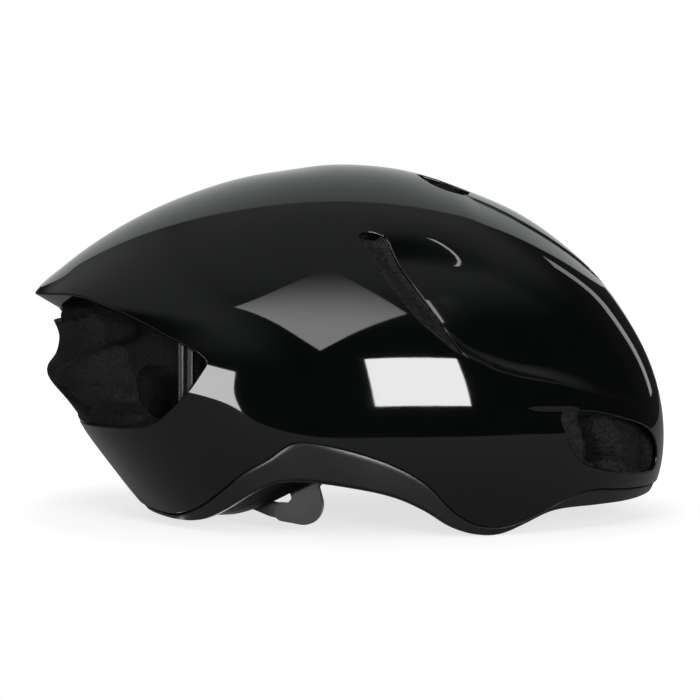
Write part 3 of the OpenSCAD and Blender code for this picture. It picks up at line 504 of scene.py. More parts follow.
def shell_heights(v, a):
    """Height of a row on a column: rows follow the scoop's two creases and end at the seam."""
    top, mid, low = high_line(a), low_line(a), seam_height(a)
    t = np.clip(v / ROWS_CROWN, 0, None)
    crown = HEIGHT - (HEIGHT - top) * t**2
    t = np.clip((v - ROWS_CROWN) / ROWS_SIDE, 0, 1)
    side = top + (mid - top) * (1.55 * t - 0.55 * t**2)
    t = (v - ROWS_CROWN - ROWS_SIDE) / ROWS_LOW
    foot = mid + (low - mid) * (0.5 * t + 0.5 * t**2)
    return np.where(v < ROWS_CROWN, crown, np.where(v < ROWS_CROWN + ROWS_SIDE, side, foot))


def shell_form(u, v):
    a = u * 2 * math.pi / SHELL_COLUMNS
    return form(shell_heights(v, a), a)


def upper_skin(u, v):
    p = shell_form(u, v)
    return p - shell_relief(p)[..., None] * outward(p)


def build_upper_shell():
    patch = Patchwork(SHELL_COLUMNS, SHELL_ROWS, shell_form)
    for level in OPENINGS:
        patch.cut(level, drop=True)
    for off in SPINE_CREASE:
        patch.cut(lambda p: np.where(p[..., 0] > 40, spine_level(p) - off, 5), drop=False)
    patch.compact()
    return make_object("gloss_shell", *walled(patch, upper_skin, SHELL_WALL,
                                              lambda at: at[:, 0].max() < -50 and at[:, 2].min() > 30))


LOW_COLUMNS = 352


def low_section(a):
    """Closed section of the satin shell at each column: outer face, flange and inner face."""
    top, rim = seam_height(a) - SEAM_GAP, rim_height(a) - RIM_DROP

    def at(share, lift, inset):
        p = form(top + (rim + lift - top) * share, a)
        return p - inset * level_outward(p)

    rows = [at(s, 0, SEAM_STEP + 0.25 * (s < 0.001)) for s in np.linspace(0, 0.94, 14)]
    turn = 3.0
    for deg in (15, 35, 55, 75, 90):
        t = math.radians(deg)
        rows.append(at(1, turn * (1 - math.sin(t)) * 0.9, SEAM_STEP + turn * (1 - math.cos(t))))
    flange = SEAM_STEP + FLANGE_W
    rows += [at(1, 0, flange - 0.4), at(1, 0.4, flange), at(1, SHELL_WALL - 0.4, flange)]
    rows += [at(1, SHELL_WALL, flange - 0.4), at(1, SHELL_WALL, SEAM_STEP + turn + 1)]
    rows += [at(s, SHELL_WALL, SEAM_STEP + SHELL_WALL) for s in np.linspace(0.85, 0, 8)]
    rows.append(at(0, 0, SEAM_STEP + SHELL_WALL - 0.25) + np.array([0, 0, 0.25]))
    rows.append(at(0, 0, SEAM_STEP + 0.3) + np.array([0, 0, 0.25]))
    return np.stack(rows, 1)


def ring_faces(columns, rows, closed=True):
    faces = []
    for c in range(columns):
        a, b = c * rows, (c + 1) % columns * rows
        for k in range(rows if closed else rows - 1):
            m = (k + 1) % rows
            faces.append([a + k, a + m, b + m, b + k])
    return faces


def build_lower_shell():
    section = low_section(np.arange(LOW_COLUMNS) * 2 * math.pi / LOW_COLUMNS)
    return make_object("satin_shell", section.reshape(-1, 3), ring_faces(LOW_COLUMNS, section.shape[1]))


# Foam liner
FOAM_COLUMNS = 400
CAVITY_X, CAVITY_Z = 16.5, 52.0
CAVITY_TOP = HEIGHT - 24
CAVITY = np.array([97.0, 79.0, CAVITY_TOP - CAVITY_Z])
FOAM_INSET = SHELL_WALL + BOND_GAP
FOAM_LIFT = SHELL_WALL + WALL_GAP
CHANNEL_Y, CHANNEL_W, CHANNEL_DEPTH = (-34, 0, 34), 14.0, 6.0
bumper_arc = curve([(-150, 60), (-136.8, 66.1), (-130, 72.5), (-122.6, 79), (-114, 84), (-106.5, 87.2),
                    (-96, 91)], 1.0)
ledge_line = curve([(-150, 66), (-128.6, 63.3), (-105, 61), (-95, 60)], 1.0)


TAIL_DROP = [(40, 0), (66, 0), (70.7, 1.3), (76.7, 5.3), (85, 7.6), (91, 8.3), (105, 8.3)]
tail_drop = curve(TAIL_DROP, 1.0)
BUMPER_DEPTH, LEDGE_DEPTH, SLIT_DEPTH = 7.0, 4.0, 6.0


def window_drop(p):
    """Depth of the foam behind the rear window, with its bumper, ledge and slit."""
    x, z = p[..., 0] / SX, p[..., 2]
    above_base, below_top = z - window_base(x), window_top(x) - z
    depth = 11 * ramp(-138, -104, x)
    over = np.clip((z - bumper_arc(x)) / 11, 0, 1)
    depth = depth + BUMPER_DEPTH * (1 - (1 - over) ** 2.2) * (1 - ramp(-108, -94, x))
    side = ramp(15, 45, np.abs(p[..., 1]))
    depth = side * depth + (1 - side) * tail_drop(z)
    step = ramp(0, 1.0, ledge_line(x) - z) * ramp(-133, -129, x) * (1 - ramp(-106, -99, x))
    depth = depth - LEDGE_DEPTH * step
    along = (x + 134.5) * 0.744 - (z - 62.4) * 0.668
    across = (x + 133.0) * 0.668 + (z - 62.4) * 0.744
    slit = (1 - ramp(1.2, 2.2, np.abs(across))) * ramp(1, 2.5, along) * (1 - ramp(15.5, 17.5, along))
    depth = depth + SLIT_DEPTH * slit
    lip = lip_drop(x)
    under_lip = (LIP_SLOPE * lip + 1.5) * (1 - ramp(lip - 0.5, lip + 2.5, below_top))
    depth = np.maximum(depth * ramp(0, 3.5, above_base), under_lip) * ramp(-2, 0, below_top)
    return np.where((x > -58) | (above_base < 0), 0, depth)


def vent_drop(p):
    """Depth of the foam behind the front vent: a strip, the deep intake and a low lump ahead of it."""
    x, z = p[..., 0] / SX, p[..., 2]
    past = x - (110.5 - 0.38 * (z - 30))
    inside = ramp(20, 26, z) * (1 - ramp(50, 55, z)) * ramp(20, 30, np.abs(p[..., 1])) * ramp(90, 94, x)
    hollow = 11 * ramp(-0.5, 2.0, past) * (1 - ramp(10, 18, past))
    lump = 5.5 * ramp(10, 18, past) - 2.2 * np.exp(-0.5 * ((x - 128) / 9) ** 2 - 0.5 * ((z - 36) / 8) ** 2)
    return (0.8 + hollow + lump * ramp(8, 16, past)) * inside


def cavity_point(z, a):
    scale = np.sqrt(1 - np.clip((z - CAVITY_Z) / CAVITY[2], 0, 1) ** 2)
    return np.stack([CAVITY_X + CAVITY[0] * scale * np.cos(a), CAVITY[1] * scale * np.sin(a), z], -1)


def cavity_normal(p):
    n = np.stack([(p[..., 0] - CAVITY_X) / CAVITY[0] ** 2, p[..., 1] / CAVITY[1] ** 2,
                  np.maximum(0, p[..., 2] - CAVITY_Z) / CAVITY[2] ** 2], -1)
    return unit(n)


def on_wall(p, t):
    """The point moved out to the cavity's wall, and back from it by t."""
    p = np.asarray(p, float)
    dz = p[..., 2] - CAVITY_Z
    k = np.sqrt(((p[..., 0] - CAVITY_X) / CAVITY[0]) ** 2 + (p[..., 1] / CAVITY[1]) ** 2
                + (np.maximum(0, dz) / CAVITY[2]) ** 2)
    q = np.stack([CAVITY_X + (p[..., 0] - CAVITY_X) / k, p[..., 1] / k,
                  np.where(dz > 0, CAVITY_Z + dz / k, p[..., 2])], -1)
    return q - np.asarray(t)[..., None] * cavity_normal(q)


def channelled(p):
    groove = np.max([1 - ramp(CHANNEL_W / 2 - 1.5, CHANNEL_W / 2 + 0.8, np.abs(p[..., 1] - y))
                     for y in CHANNEL_Y], axis=0)
    depth = CHANNEL_DEPTH * groove * ramp(CAVITY_Z + 6, CAVITY_Z + 22, p[..., 2])
    return p + depth[..., None] * cavity_normal(p)


def foam_sections():
    a = np.arange(FOAM_COLUMNS) * 2 * math.pi / FOAM_COLUMNS
    seam, rim = seam_height(a), rim_height(a) - RIM_DROP
    rows = []
    for t in np.linspace(0, 1, 97)[1:]:
        z = HEIGHT - (HEIGHT - seam) * (0.35 * t + 0.65 * t**1.6) ** 1.25
        p = form(z, a)
        drop = FOAM_INSET + shell_relief(p) + window_drop(p) + vent_drop(p)
        drop = drop + (SEAM_STEP + 0.1) * ramp(seam + 6, seam, z)
        rows.append(p - drop[:, None] * outward(p))
    low = SEAM_STEP + FOAM_INSET
    for s in np.linspace(0, 1, 8)[1:]:
        p = form(seam - SEAM_GAP + (rim + FOAM_LIFT - seam + SEAM_GAP) * s, a)
        rows.append(p - (low + 3 * ramp(0.8, 1, s)) * level_outward(p))
    p = form(rim + FOAM_LIFT, a)
    rows.append(p - (SEAM_STEP + FLANGE_W + WALL_GAP) * level_outward(p))
    foot = cavity_point(rim + FOAM_LIFT, a)
    last = rows[-1]
    out = level_outward(foot)
    rows += [last + (foot - last) * 0.5, foot + 1.6 * out]
    rows.append(foot + 0.5 * out + np.array([0, 0, 0.5]))
    rows.append(foot + np.array([0, 0, 1.8]))
    for t in np.linspace(0, 1, 12)[1:]:
        rows.append(cavity_point(rim + FOAM_LIFT + 1.8 + (CAVITY_Z - rim - FOAM_LIFT - 1.8) * t, a))
    for t in np.linspace(0, 1, 47)[1:-1]:
        rows.append(channelled(cavity_point(CAVITY_Z + CAVITY[2] * math.sin(t * math.pi / 2) + 0 * a, a)))
    return np.stack(rows, 1)


def domed_faces(columns, rows):
    """Faces of columns between two poles: the first pole is point 0, the second the last point."""
    last = 1 + columns * rows
    faces = []
    for c in range(columns):
        a, b = 1 + c * rows, 1 + (c + 1) % columns * rows
        faces.append([0, a, b])
        faces += [[a + k, a + k + 1, b + k + 1, b + k] for k in range(rows - 1)]
        faces.append([a + rows - 1, last, b + rows - 1])
    return faces


def rounded_box(w, l, r, steps=6):
    points = []
    for sx, sy in ((1, 1), (-1, 1), (-1, -1), (1, -1)):
        for i in range(steps + 1):
            t = math.radians((i if sx * sy > 0 else steps - i) * 90 / steps)
            points.append((sx * (w / 2 - r + r * math.cos(t)), sy * (l / 2 - r + r * math.sin(t))))
    return points


def prism(outline, low, high, place=None):
    """Prism over an outline, from low to high along Z, then moved by a 4 by 4 matrix."""
    n = len(outline)
    points = [(x, y, low) for x, y in outline] + [(x, y, high) for x, y in outline]
    faces = [list(range(n))[::-1], list(range(n, 2 * n))]
    faces += [[i, (i + 1) % n, n + (i + 1) % n, n + i] for i in range(n)]
    if place is not None:
        points = [tuple(place @ Vector(p)) for p in points]
    return points, faces


def join(parts):
    points, faces = [], []
    for p, f in parts:
        faces += [[i + len(points) for i in face] for face in f]
        points += list(p)
    return points, faces


def turn_out(obj, merged=False):
    """Points the faces of a closed piece outwards, with its double points merged first if asked."""
    mesh = bmesh.new()
    mesh.from_mesh(obj.data)
    if merged:
        bmesh.ops.remove_doubles(mesh, verts=mesh.verts, dist=MERGE_DISTANCE)
    bmesh.ops.recalc_face_normals(mesh, faces=mesh.faces)
    mesh.to_mesh(obj.data)
    mesh.free()


def carve(obj, points, faces, how="DIFFERENCE"):
    """Cuts a closed form from a piece, or keeps only what the two share."""
    tool = make_object("cutter", points, faces, smooth=False)
    turn_out(tool)
    step = obj.modifiers.new("cut", "BOOLEAN")
    step.operation, step.object, step.solver = how, tool, "MANIFOLD"
    settle(obj)
    bpy.data.objects.remove(tool)


def settle(obj):
    """Applies an object's modifiers to its mesh."""
    graph = bpy.context.evaluated_depsgraph_get()
    mesh = bpy.data.meshes.new_from_object(obj.evaluated_get(graph))
    obj.modifiers.clear()
    obj.data = mesh


TUNNELS = [((-86, 70, 62), -38, 0, (24, 24, 8), 90), ((107, 66, 40), 222, 0, (18, 12, 4), 60),
           ((6, 62, 130), 75, -38, (14, 11, 4), 60)]
FRONT_ANCHOR, REAR_ANCHOR = (48, 36), (-42, 66)
ANCHOR_SIZE = (19, 9, 3)
PIVOT = (-21, 56)
PIVOT_Y = CAVITY[1] * math.sqrt(1 - ((PIVOT[0] - CAVITY_X) / CAVITY[0]) ** 2)
RING_PATH = [(-29, 65.8, 8.5, 7.3), (-36, 62.6, 10, 7), (-42, 58.8, 11.6, 6), (-48, 54.6, 13.4, 5),
             (-60, 50.5, 17.5, 6), (-70, 45, 23, 7.5), (-77, 38, 28.5, 9), (-80.2, 31, 31.4, 9)]
BELT_ROOM = 4.5
CROWN_HOLE, CROWN_HOLE_X, CROWN_HOLE_Y = (16, 16.5, 5), 44, 12.75
HOLLOW_FROM, OFF_WALL = 17.0, 1.02
HOUSING_HALF_W = 25.0


def wall_at(x, z, side):
    scale = math.sqrt(1 - min(1, max(0, z - CAVITY_Z) / CAVITY[2]) ** 2)
    y = CAVITY[1] * math.sqrt(max(0, scale**2 - ((x - CAVITY_X) / CAVITY[0]) ** 2))
    return np.array([x, side * y, z])


def wall_frame(q):
    """Matrix with Z along the cavity wall's outward normal and X level."""
    n = cavity_normal(np.asarray(q, float))
    return (Matrix.Translation(Vector(q)) @ Matrix.Rotation(math.atan2(n[1], n[0]), 4, "Z")
            @ Matrix.Rotation(math.radians(90) - math.asin(n[2]), 4, "Y")
            @ Matrix.Rotation(math.radians(90), 4, "Z"))


def tunnel(at, turn, tilt, size, length, side):
    place = (Matrix.Diagonal((1, side, 1, 1)) @ Matrix.Translation((at[0] * SX, at[1], at[2]))
             @ Matrix.Rotation(math.radians(turn), 4, "Z")
             @ Matrix.Rotation(math.radians(90 + tilt), 4, "Y"))
    return prism(rounded_box(*size), -length / 2, length / 2, place)


def disc_along_y(x, z, r, y0, y1, side, steps=48):
    outline = [(x + r * math.cos(t), z + r * math.sin(t))
               for t in np.linspace(0, 2 * math.pi, steps, endpoint=False)]
    points, faces = prism(outline, y0, y1)
    return [(p[0], side * p[2], p[1]) for p in points], faces


def side_prism(outline, y0, y1):
    points, faces = prism(outline, y0, y1)
    return [(p[0], p[2], p[1]) for p in points], faces


def foam_hollows():
    parts = []
    for side in (1, -1):
        parts += [tunnel(*t, side) for t in TUNNELS]
        parts.append(disc_along_y(*PIVOT, 9.4, PIVOT_Y - 8, PIVOT_Y + 3.4, side))
        parts.append(prism(rounded_box(*CROWN_HOLE), CAVITY_Z + CAVITY[2] / 2, HEIGHT + 5,
                           Matrix.Translation((CROWN_HOLE_X * SX, side * CROWN_HOLE_Y, 0))))
        for x, z in (FRONT_ANCHOR, REAR_ANCHOR):
            size = [s + 2 * WALL_GAP for s in ANCHOR_SIZE]
            middle = ANCHOR_SIZE[2] / 2 + WALL_GAP / 2
            place = wall_frame(wall_at(x, z, side))
            parts.append(prism(rounded_box(size[0], size[1], 0.8), middle - size[2] / 2 - 3,
                               middle + size[2] / 2, place))
    return join(parts)


def dial_pockets():
    """Rooms in the foam for the belts and the dial, as the ring tilts."""
    top = RING_Z + 22
    path = RING_PATH[3:]
    outer = [(x - 0.4 * BELT_ROOM, y + 0.9 * BELT_ROOM) for x, y, *_ in path]
    outer.insert(0, (path[0][0] + BELT_ROOM, path[0][1] + BELT_ROOM))
    plan = outer + [(-90, 28), (-90, -28)] + [(x, -y) for x, y in outer[::-1]]
    side = [(-38, -6), (-66, -6), (-75, 17), (-100, 17), (-100, top), (-38, top)]
    dial = [(-50, -6), (-90, -6), (-93, 8), (-100, 24), (-100, top), (-50, top)]
    half = HOUSING_HALF_W + 1.5
    return prism(plan, -6, top), side_prism(side, -WIDTH, WIDTH), side_prism(dial, -half, half)


def build_foam():
    section = foam_sections()
    rows = section.shape[1]
    points = np.concatenate([[[WIDEST_X, 0, HEIGHT - FOAM_INSET]], section.reshape(-1, 3),
                             channelled(np.array([[CAVITY_X, 0, CAVITY_TOP - 0.001]]))])
    foam = make_object("bead_foam", points, domed_faces(FOAM_COLUMNS, rows))
    carve(foam, *foam_hollows())
    plan, side, dial = dial_pockets()
    room = make_object("room", *plan, smooth=False)
    carve(room, *side, how="INTERSECT")
    for tool in (([tuple(np.array(v.co) / MM) for v in room.data.vertices],
                  [list(f.vertices) for f in room.data.polygons]), dial):
        carve(foam, *tool)
    bpy.data.objects.remove(room)
    mark_shaded_hollows(foam)
    return foam


def mark_shaded_hollows(foam):
    """Marks the faces deep in the air channels, where the foam material paints shade: their colour is turned
    near black to stand in for the channels' shadow.
    """
    centres = np.array([f.center for f in foam.data.polygons]) / MM
    angle = np.arctan2(centres[:, 1], centres[:, 0] - WIDEST_X)
    skin = np.hypot(centres[:, 0] - WIDEST_X, centres[:, 1])
    edge = form(centres[:, 2], angle)
    sunk = np.hypot(edge[:, 0] - WIDEST_X, edge[:, 1]) - skin
    lift = np.maximum(0, centres[:, 2] - CAVITY_Z) / CAVITY[2]
    flat = ((centres[:, 0] - CAVITY_X) / CAVITY[0]) ** 2 + (centres[:, 1] / CAVITY[1]) ** 2
    off_wall = np.sqrt(flat + lift**2)
    marks = foam.data.attributes.new("hollow", "FLOAT", "FACE")
    marks.data.foreach_set("value", ((sunk > HOLLOW_FROM) & (off_wall > OFF_WALL)).astype(np.float32))


# Pads
PAD_VOXEL, PAD_PRESSURE = 1.5, 4.0
SEAM_IN, STITCH_STEP, THREAD_R = 2.6, 1.25, 0.22


def wall_pad(a0, a1, z0, z1):
    """Placing of a pad on the cavity's wall: its mean size, and its points by share and height."""
    middle, half = math.radians((a0 + a1) / 2), math.radians((a1 - a0) / 2)

    def at(u, v, t):
        return on_wall(cavity_point((z0 + z1) / 2 + v * (z1 - z0) / 2, middle + u * half), t)
    reach = np.linalg.norm(np.diff(at(np.linspace(-1, 1, 60), np.zeros(60), np.zeros(60)), axis=0), axis=1)
    return (reach.sum(), z1 - z0), at


def roof_pad(x0, x1, w):
    def at(u, v, t):
        x, y = (x0 + x1) / 2 - u * (x1 - x0) / 2, v * w / 2
        rise = np.sqrt(1 - ((x - CAVITY_X) / CAVITY[0]) ** 2 - (y / CAVITY[1]) ** 2)
        return on_wall(np.stack([x, y, CAVITY_Z + CAVITY[2] * rise], -1), t)
    return (x1 - x0, w), at


def plate_pad(x, w, h):
    def at(u, v, t):
        return np.stack([x + t - WALL_GAP + 0 * u, u * w / 2, RING_Z + v * h / 2], -1)
    return (w, h), at


PADS = {"brow": ("brow_pad", wall_pad(-46, 46, 16, 33)),
        "crown_front": ("front_crown_pad", roof_pad(60, 90, 46)),
        "crown_rear": ("rear_crown_pad", roof_pad(-46, -2, 46)),
        "side_left": ("side_pad_left", wall_pad(88, 105, 40, 80)),
        "side_right": ("side_pad_right", wall_pad(-105, -88, 40, 80)),
        "nape_left": ("nape_pad_left", wall_pad(152, 174, RING_Z + 27, RING_Z + 62)),
        "nape_right": ("nape_pad_right", wall_pad(-174, -152, RING_Z + 27, RING_Z + 62)),
        "occipital": ("occipital_pad", plate_pad(-75.4, 46, 19))}


def pad_rise(u, v, thick):
    crown = np.sqrt(np.maximum(0, (1 - u**4) * (1 - v**4)))
    seam = np.exp(-0.5 * ((np.maximum(np.abs(u), np.abs(v)) - 0.8) / 0.05) ** 2)
    return 0.5 * thick / 1.5 + (thick - 0.5 * thick / 1.5) * crown * (1 - 0.1 * seam)


def slab(at, size, thick):
    """Closed crowned slab over a placing, on a grid of about two voxels."""
    n, m = [max(6, int(s / 2.2)) for s in size]
    u, v = np.meshgrid(np.linspace(-1, 1, n + 1), np.linspace(-1, 1, m + 1), indexing="ij")
    shrink = 1 - 0.6 / np.array(size)
    uu, vv = u * (1 - 0.07 * v**4) * shrink[0], v * (1 - 0.07 * u**4) * shrink[1]
    back, face = at(uu, vv, WALL_GAP + 0 * u), at(uu, vv, WALL_GAP + pad_rise(u, v, thick))
    index = np.arange((n + 1) * (m + 1)).reshape(n + 1, m + 1)
    grid = np.stack([index[:-1, :-1], index[1:, :-1], index[1:, 1:], index[:-1, 1:]], -1).reshape(-1, 4)
    k = index.size
    faces = [list(f[::-1]) for f in grid] + [list(f + k) for f in grid]
    border = list(index[:, 0]) + list(index[-1, 1:]) + list(index[-2::-1, -1]) + list(index[0, -2:0:-1])
    faces += [[a, b, b + k, a + k] for a, b in zip(border, border[1:] + border[:1])]
    return np.concatenate([back.reshape(-1, 3), face.reshape(-1, 3)]), faces


def faced_outward(obj):
    turn_out(obj, merged=True)
    obj.data.polygons.foreach_set("use_smooth", [True] * len(obj.data.polygons))
    return obj


def coordinates(mesh):
    flat = np.empty(len(mesh.vertices) * 3)
    mesh.vertices.foreach_get("co", flat)
    return flat.reshape(-1, 3)


def puffed(obj, is_back, most):
    """Fills a pad's skin by a short cloth simulation, with its back held on its carrier."""
    step = obj.modifiers.new("skin", "REMESH")
    step.mode, step.voxel_size = "VOXEL", PAD_VOXEL * MM
    settle(obj)
    rest = coordinates(obj.data)
    held = obj.vertex_groups.new(name="held")
    held.add([int(i) for i in np.flatnonzero(is_back(rest / MM))], 1.0, "REPLACE")
    cloth = obj.modifiers.new("fill", "CLOTH")
    cloth.settings.use_pressure, cloth.settings.uniform_pressure_force = True, PAD_PRESSURE
    cloth.settings.effector_weights.gravity = 0
    cloth.settings.vertex_group_mass = "held"
    cloth.settings.quality = 5
    for moment in range(1, 21):
        bpy.context.scene.frame_set(moment)
    settle(obj)
    bpy.context.scene.frame_set(1)
    moved = coordinates(obj.data) - rest
    reach = np.linalg.norm(moved, axis=1, keepdims=True)
    moved *= np.minimum(1, most * MM / np.maximum(reach, 1e-9))
    obj.data.vertices.foreach_set("co", (rest + moved).ravel())
    return obj


def stitch(a, b, up, r=THREAD_R):
    """One stitch between two points: a short six-sided thread that dips in at both ends."""
    along = unit(b - a)
    side = unit(np.cross(along, up))
    points, faces = [], []
    for t, lift, size in ((0.0, -0.2, 0.5), (0.2, 0.0, 1.0), (0.8, 0.0, 1.0), (1.0, -0.2, 0.5)):
        middle = a + (b - a) * t + up * lift
        points += [middle + size * r * (math.cos(w) * side + math.sin(w) * up)
                   for w in np.linspace(0, 2 * math.pi, 6, endpoint=False)]
    for k in range(3):
        faces += [[6 * k + i, 6 * k + (i + 1) % 6, 6 * k + 6 + (i + 1) % 6, 6 * k + 6 + i] for i in range(6)]
    return points, faces + [list(range(6))[::-1], list(range(18, 24))]


def seam_run(at, size, thick):
    """Points and outward directions along a pad's seam, a stitch apart."""
    outline = np.array(rounded_box(size[0] - 2 * SEAM_IN, size[1] - 2 * SEAM_IN, 3.5))
    outline = np.concatenate([outline, outline[:1]])
    along = path_length(outline)
    count = int(along[-1] / STITCH_STEP) // 2 * 2
    spots = np.linspace(0, along[-1], count, endpoint=False)
    x, y = np.interp(spots, along, outline[:, 0]), np.interp(spots, along, outline[:, 1])
    u, v = x / size[0] * 2, y / size[1] * 2
    low = at(u, v, WALL_GAP + 0 * u)
    high = at(u, v, WALL_GAP + pad_rise(u, v, thick) + 0.35)
    return high, unit(high - low)


def build_pads():
    threads = {"helmet": [], "housing": []}
    for label, (node_name, (size, at)) in PADS.items():
        thick = 3.0 if label == "occipital" else PAD_T
        body = "housing" if label == "occipital" else "helmet"
        pad = faced_outward(make_object("pad_" + label, *slab(at, size, thick)))
        base = at(np.zeros(1), np.zeros(1), np.full(1, WALL_GAP))[0]
        if label == "occipital":
            puffed(pad, lambda p: p[:, 0] < base[0] + 0.7, 0.5)
        else:
            puffed(pad, lambda p: np.linalg.norm(p - on_wall(p, np.zeros(len(p))), axis=1) < WALL_GAP + 0.9,
                   0.7)
        finer = pad.modifiers.new("finer", "SUBSURF")
        finer.levels = finer.render_levels = 1
        settle(pad)
        faced_outward(pad)
        place(pad, FABRIC, body, "pad_fabric", node_name)
        spots, ups = seam_run(at, size, thick)
        for k in range(0, len(spots), 2):
            threads[body].append(stitch(spots[k], spots[(k + 1) % len(spots)], ups[k]))
    for body, parts in threads.items():
        sewn = faced_outward(make_object("pad_stitching_" + body, *join(parts)))
        place(sewn, THREAD, body, "pad_fabric")


# Webbing and belts
DIVIDER = (14, 112)
SIDE_END, CHIN_END, BUCKLE_Y = 11, 8, 22


def toward(p, q, d):
    return p + (q - p) * d / np.linalg.norm(q - p)


def swept(stations, sections, closed_ends=True):
    """Tube through sections, each a ring of points: points and faces, with end caps."""
    rows = len(sections[0])
    points = np.concatenate(sections)
    faces = []
    for k in range(stations - 1):
        a, b = k * rows, (k + 1) * rows
        faces += [[a + i, a + (i + 1) % rows, b + (i + 1) % rows, b + i] for i in range(rows)]
    if closed_ends:
        faces += [list(range(rows))[::-1], list(range((stations - 1) * rows, stations * rows))]
    return points, faces


def webbing_strip(name, p, q):
    """Woven strap laid on the cavity's wall between two points, with thick selvedges."""
    steps = max(12, int(np.linalg.norm(q - p) / 1.5))
    middle = on_wall(p + (q - p) * np.linspace(0, 1, steps + 1)[:, None], np.zeros(steps + 1))
    along = unit(np.gradient(middle, axis=0))
    across = unit(np.cross(along, cavity_normal(middle)))
    length = path_length(middle)
    shares = [math.sin(t) for t in np.linspace(-math.pi / 2, math.pi / 2, 15)]
    ring = [(s, 0) for s in shares] + [(s, 1) for s in shares[::-1][1:-1]]
    sections, spread_uv = [], []
    for s, top in ring:
        ease = (1 - abs(s) ** 12) ** 0.5
        rib, dip = ((abs(s) - 0.86) / 0.07) ** 2, ((abs(s) - 0.7) / 0.06) ** 2
        ply = 1 + 0.1 * math.exp(-rib) - 0.06 * math.exp(-dip)
        depth = WALL_GAP + STRAP_T / 2 + (STRAP_T / 2 if top else -STRAP_T / 2) * ease * (ply if top else 1)
        sections.append(on_wall(middle + across * s * STRAP_W / 2, np.full(steps + 1, depth)))
        spread_uv.append(s * STRAP_W / 2)
    points, faces = swept(steps + 1, list(np.stack(sections, 1)))
    strip = make_object(name, points, faces)
    uv = strip.data.uv_layers.new(name="weave")
    rows = len(ring)
    for loop in strip.data.loops:
        station, i = divmod(loop.vertex_index, rows)
        uv.data[loop.index].uv = (spread_uv[i], length[station])
    turn_out(strip)
    return strip


def tack_rows(p, q, first, rows, gap):
    """Rows of stitches across a strap, from a distance along it."""
    steps = 200
    middle = on_wall(p + (q - p) * np.linspace(0, 1, steps + 1)[:, None], np.zeros(steps + 1))
    length = path_length(middle)
    parts = []
    for row in range(rows):
        k = int(np.searchsorted(length, first + row * gap))
        along, up = unit(middle[k + 1] - middle[k - 1]), -cavity_normal(middle[k])
        across = unit(np.cross(along, up))
        for s in np.arange(-5.4, 5.5, 1.8):
            at = on_wall(np.stack([middle[k] + across * s, middle[k] + across * (s + 1.3)]),
                         np.full(2, WALL_GAP + STRAP_T + 0.12))
            parts.append(stitch(at[0], at[1], up))
    return parts


def build_straps():
    sewn = []
    for side, tag in ((1, "left"), (-1, "right")):
        divider = wall_at(*DIVIDER, side)
        for label, place_at in (("front", FRONT_ANCHOR), ("rear", REAR_ANCHOR)):
            start = wall_at(*place_at, side)
            p, q = toward(start, divider, ANCHOR_SIZE[1] / 2 + 1), toward(divider, start, SIDE_END)
            strip = webbing_strip("webbing_%s_%s" % (label, tag), p, q)
            place(strip, WEBBING, "helmet", "webbing", "%s_strap_%s" % (label, tag))
            sewn += tack_rows(p, q, 3, 3, 1.6)
        end = on_wall([DIVIDER[0], side * (BUCKLE_Y - 3), CAVITY_TOP], 0)
        p = toward(divider, end, CHIN_END)
        strip = webbing_strip("webbing_chin_" + tag, p, end)
        place(strip, WEBBING, "helmet", "webbing", "chin_strap_" + tag)
        sewn += tack_rows(p, end, 24, 3, 1.6)
    stitches = faced_outward(make_object("strap_stitching", *join(sewn)))
    place(stitches, THREAD, "helmet", "webbing")


BELT_T = 1.4
HOUSING_X = -79.5


def build_belts():
    """Belts between the ring's arms and the dial's housing, each in one piece."""
    x, y, z, depth = np.array(RING_PATH[3:] + [(HOUSING_X - 1, HOUSING_HALF_W + 0.3, RING_Z, 9)], float).T
    x[0], y[0] = x[0] - 0.4, y[0] - 0.3
    far = np.concatenate([[0], np.cumsum(np.hypot(np.diff(x), np.diff(y)))])
    spots = np.linspace(0, far[-1], 73)
    run = [curve(list(zip(far, values)), 1.2)(spots) for values in (x, y, z, depth)]
    plan = np.stack(run[:2], -1)
    plan[0], plan[-1] = (x[0], y[0]), (x[-1], y[-1])
    along = unit(np.gradient(plan, axis=0))
    aside = np.stack([-along[:, 1], along[:, 0]], -1)
    for side, tag in ((1, "left"), (-1, "right")):
        sections = []
        for k in range(len(spots)):
            ring = rounded_box(BELT_T, run[3][k], 0.5, 3)
            (px, py), (ax, ay) = plan[k], aside[k]
            sections.append([(px + ax * a, side * (py + ay * a), run[2][k] + b) for a, b in ring])
        belt = faced_outward(make_object("fit_belt_" + tag, *swept(len(spots), sections)))
        dress(belt, NYLON)
        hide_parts("ring_belt_" + tag)
        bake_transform(belt)


# Hardware kept from the CAD
def angle_smooth():
    """Node group that shades smooth over edges flatter than the smooth angle."""
    tree = bpy.data.node_groups.new("smooth_by_angle", "GeometryNodeTree")
    tree.interface.new_socket("Geometry", in_out="INPUT", socket_type="NodeSocketGeometry")
    tree.interface.new_socket("Geometry", in_out="OUTPUT", socket_type="NodeSocketGeometry")
    start, end = tree.nodes.new("NodeGroupInput"), tree.nodes.new("NodeGroupOutput")
    faces = node(tree, "GeometryNodeSetShadeSmooth", {"Geometry": start.outputs[0]}, domain="FACE")
    edge = tree.nodes.new("GeometryNodeInputMeshEdgeAngle")
    flat = node(tree, "FunctionNodeCompare", {0: edge.outputs["Unsigned Angle"], 1: SMOOTH_ANGLE},
                data_type="FLOAT", operation="LESS_THAN")
    edges = node(tree, "GeometryNodeSetShadeSmooth", {"Geometry": faces.outputs[0],
                                                      "Shade Smooth": flat.outputs[0]}, domain="EDGE")
    tree.links.new(edges.outputs[0], end.inputs[0])
    return tree


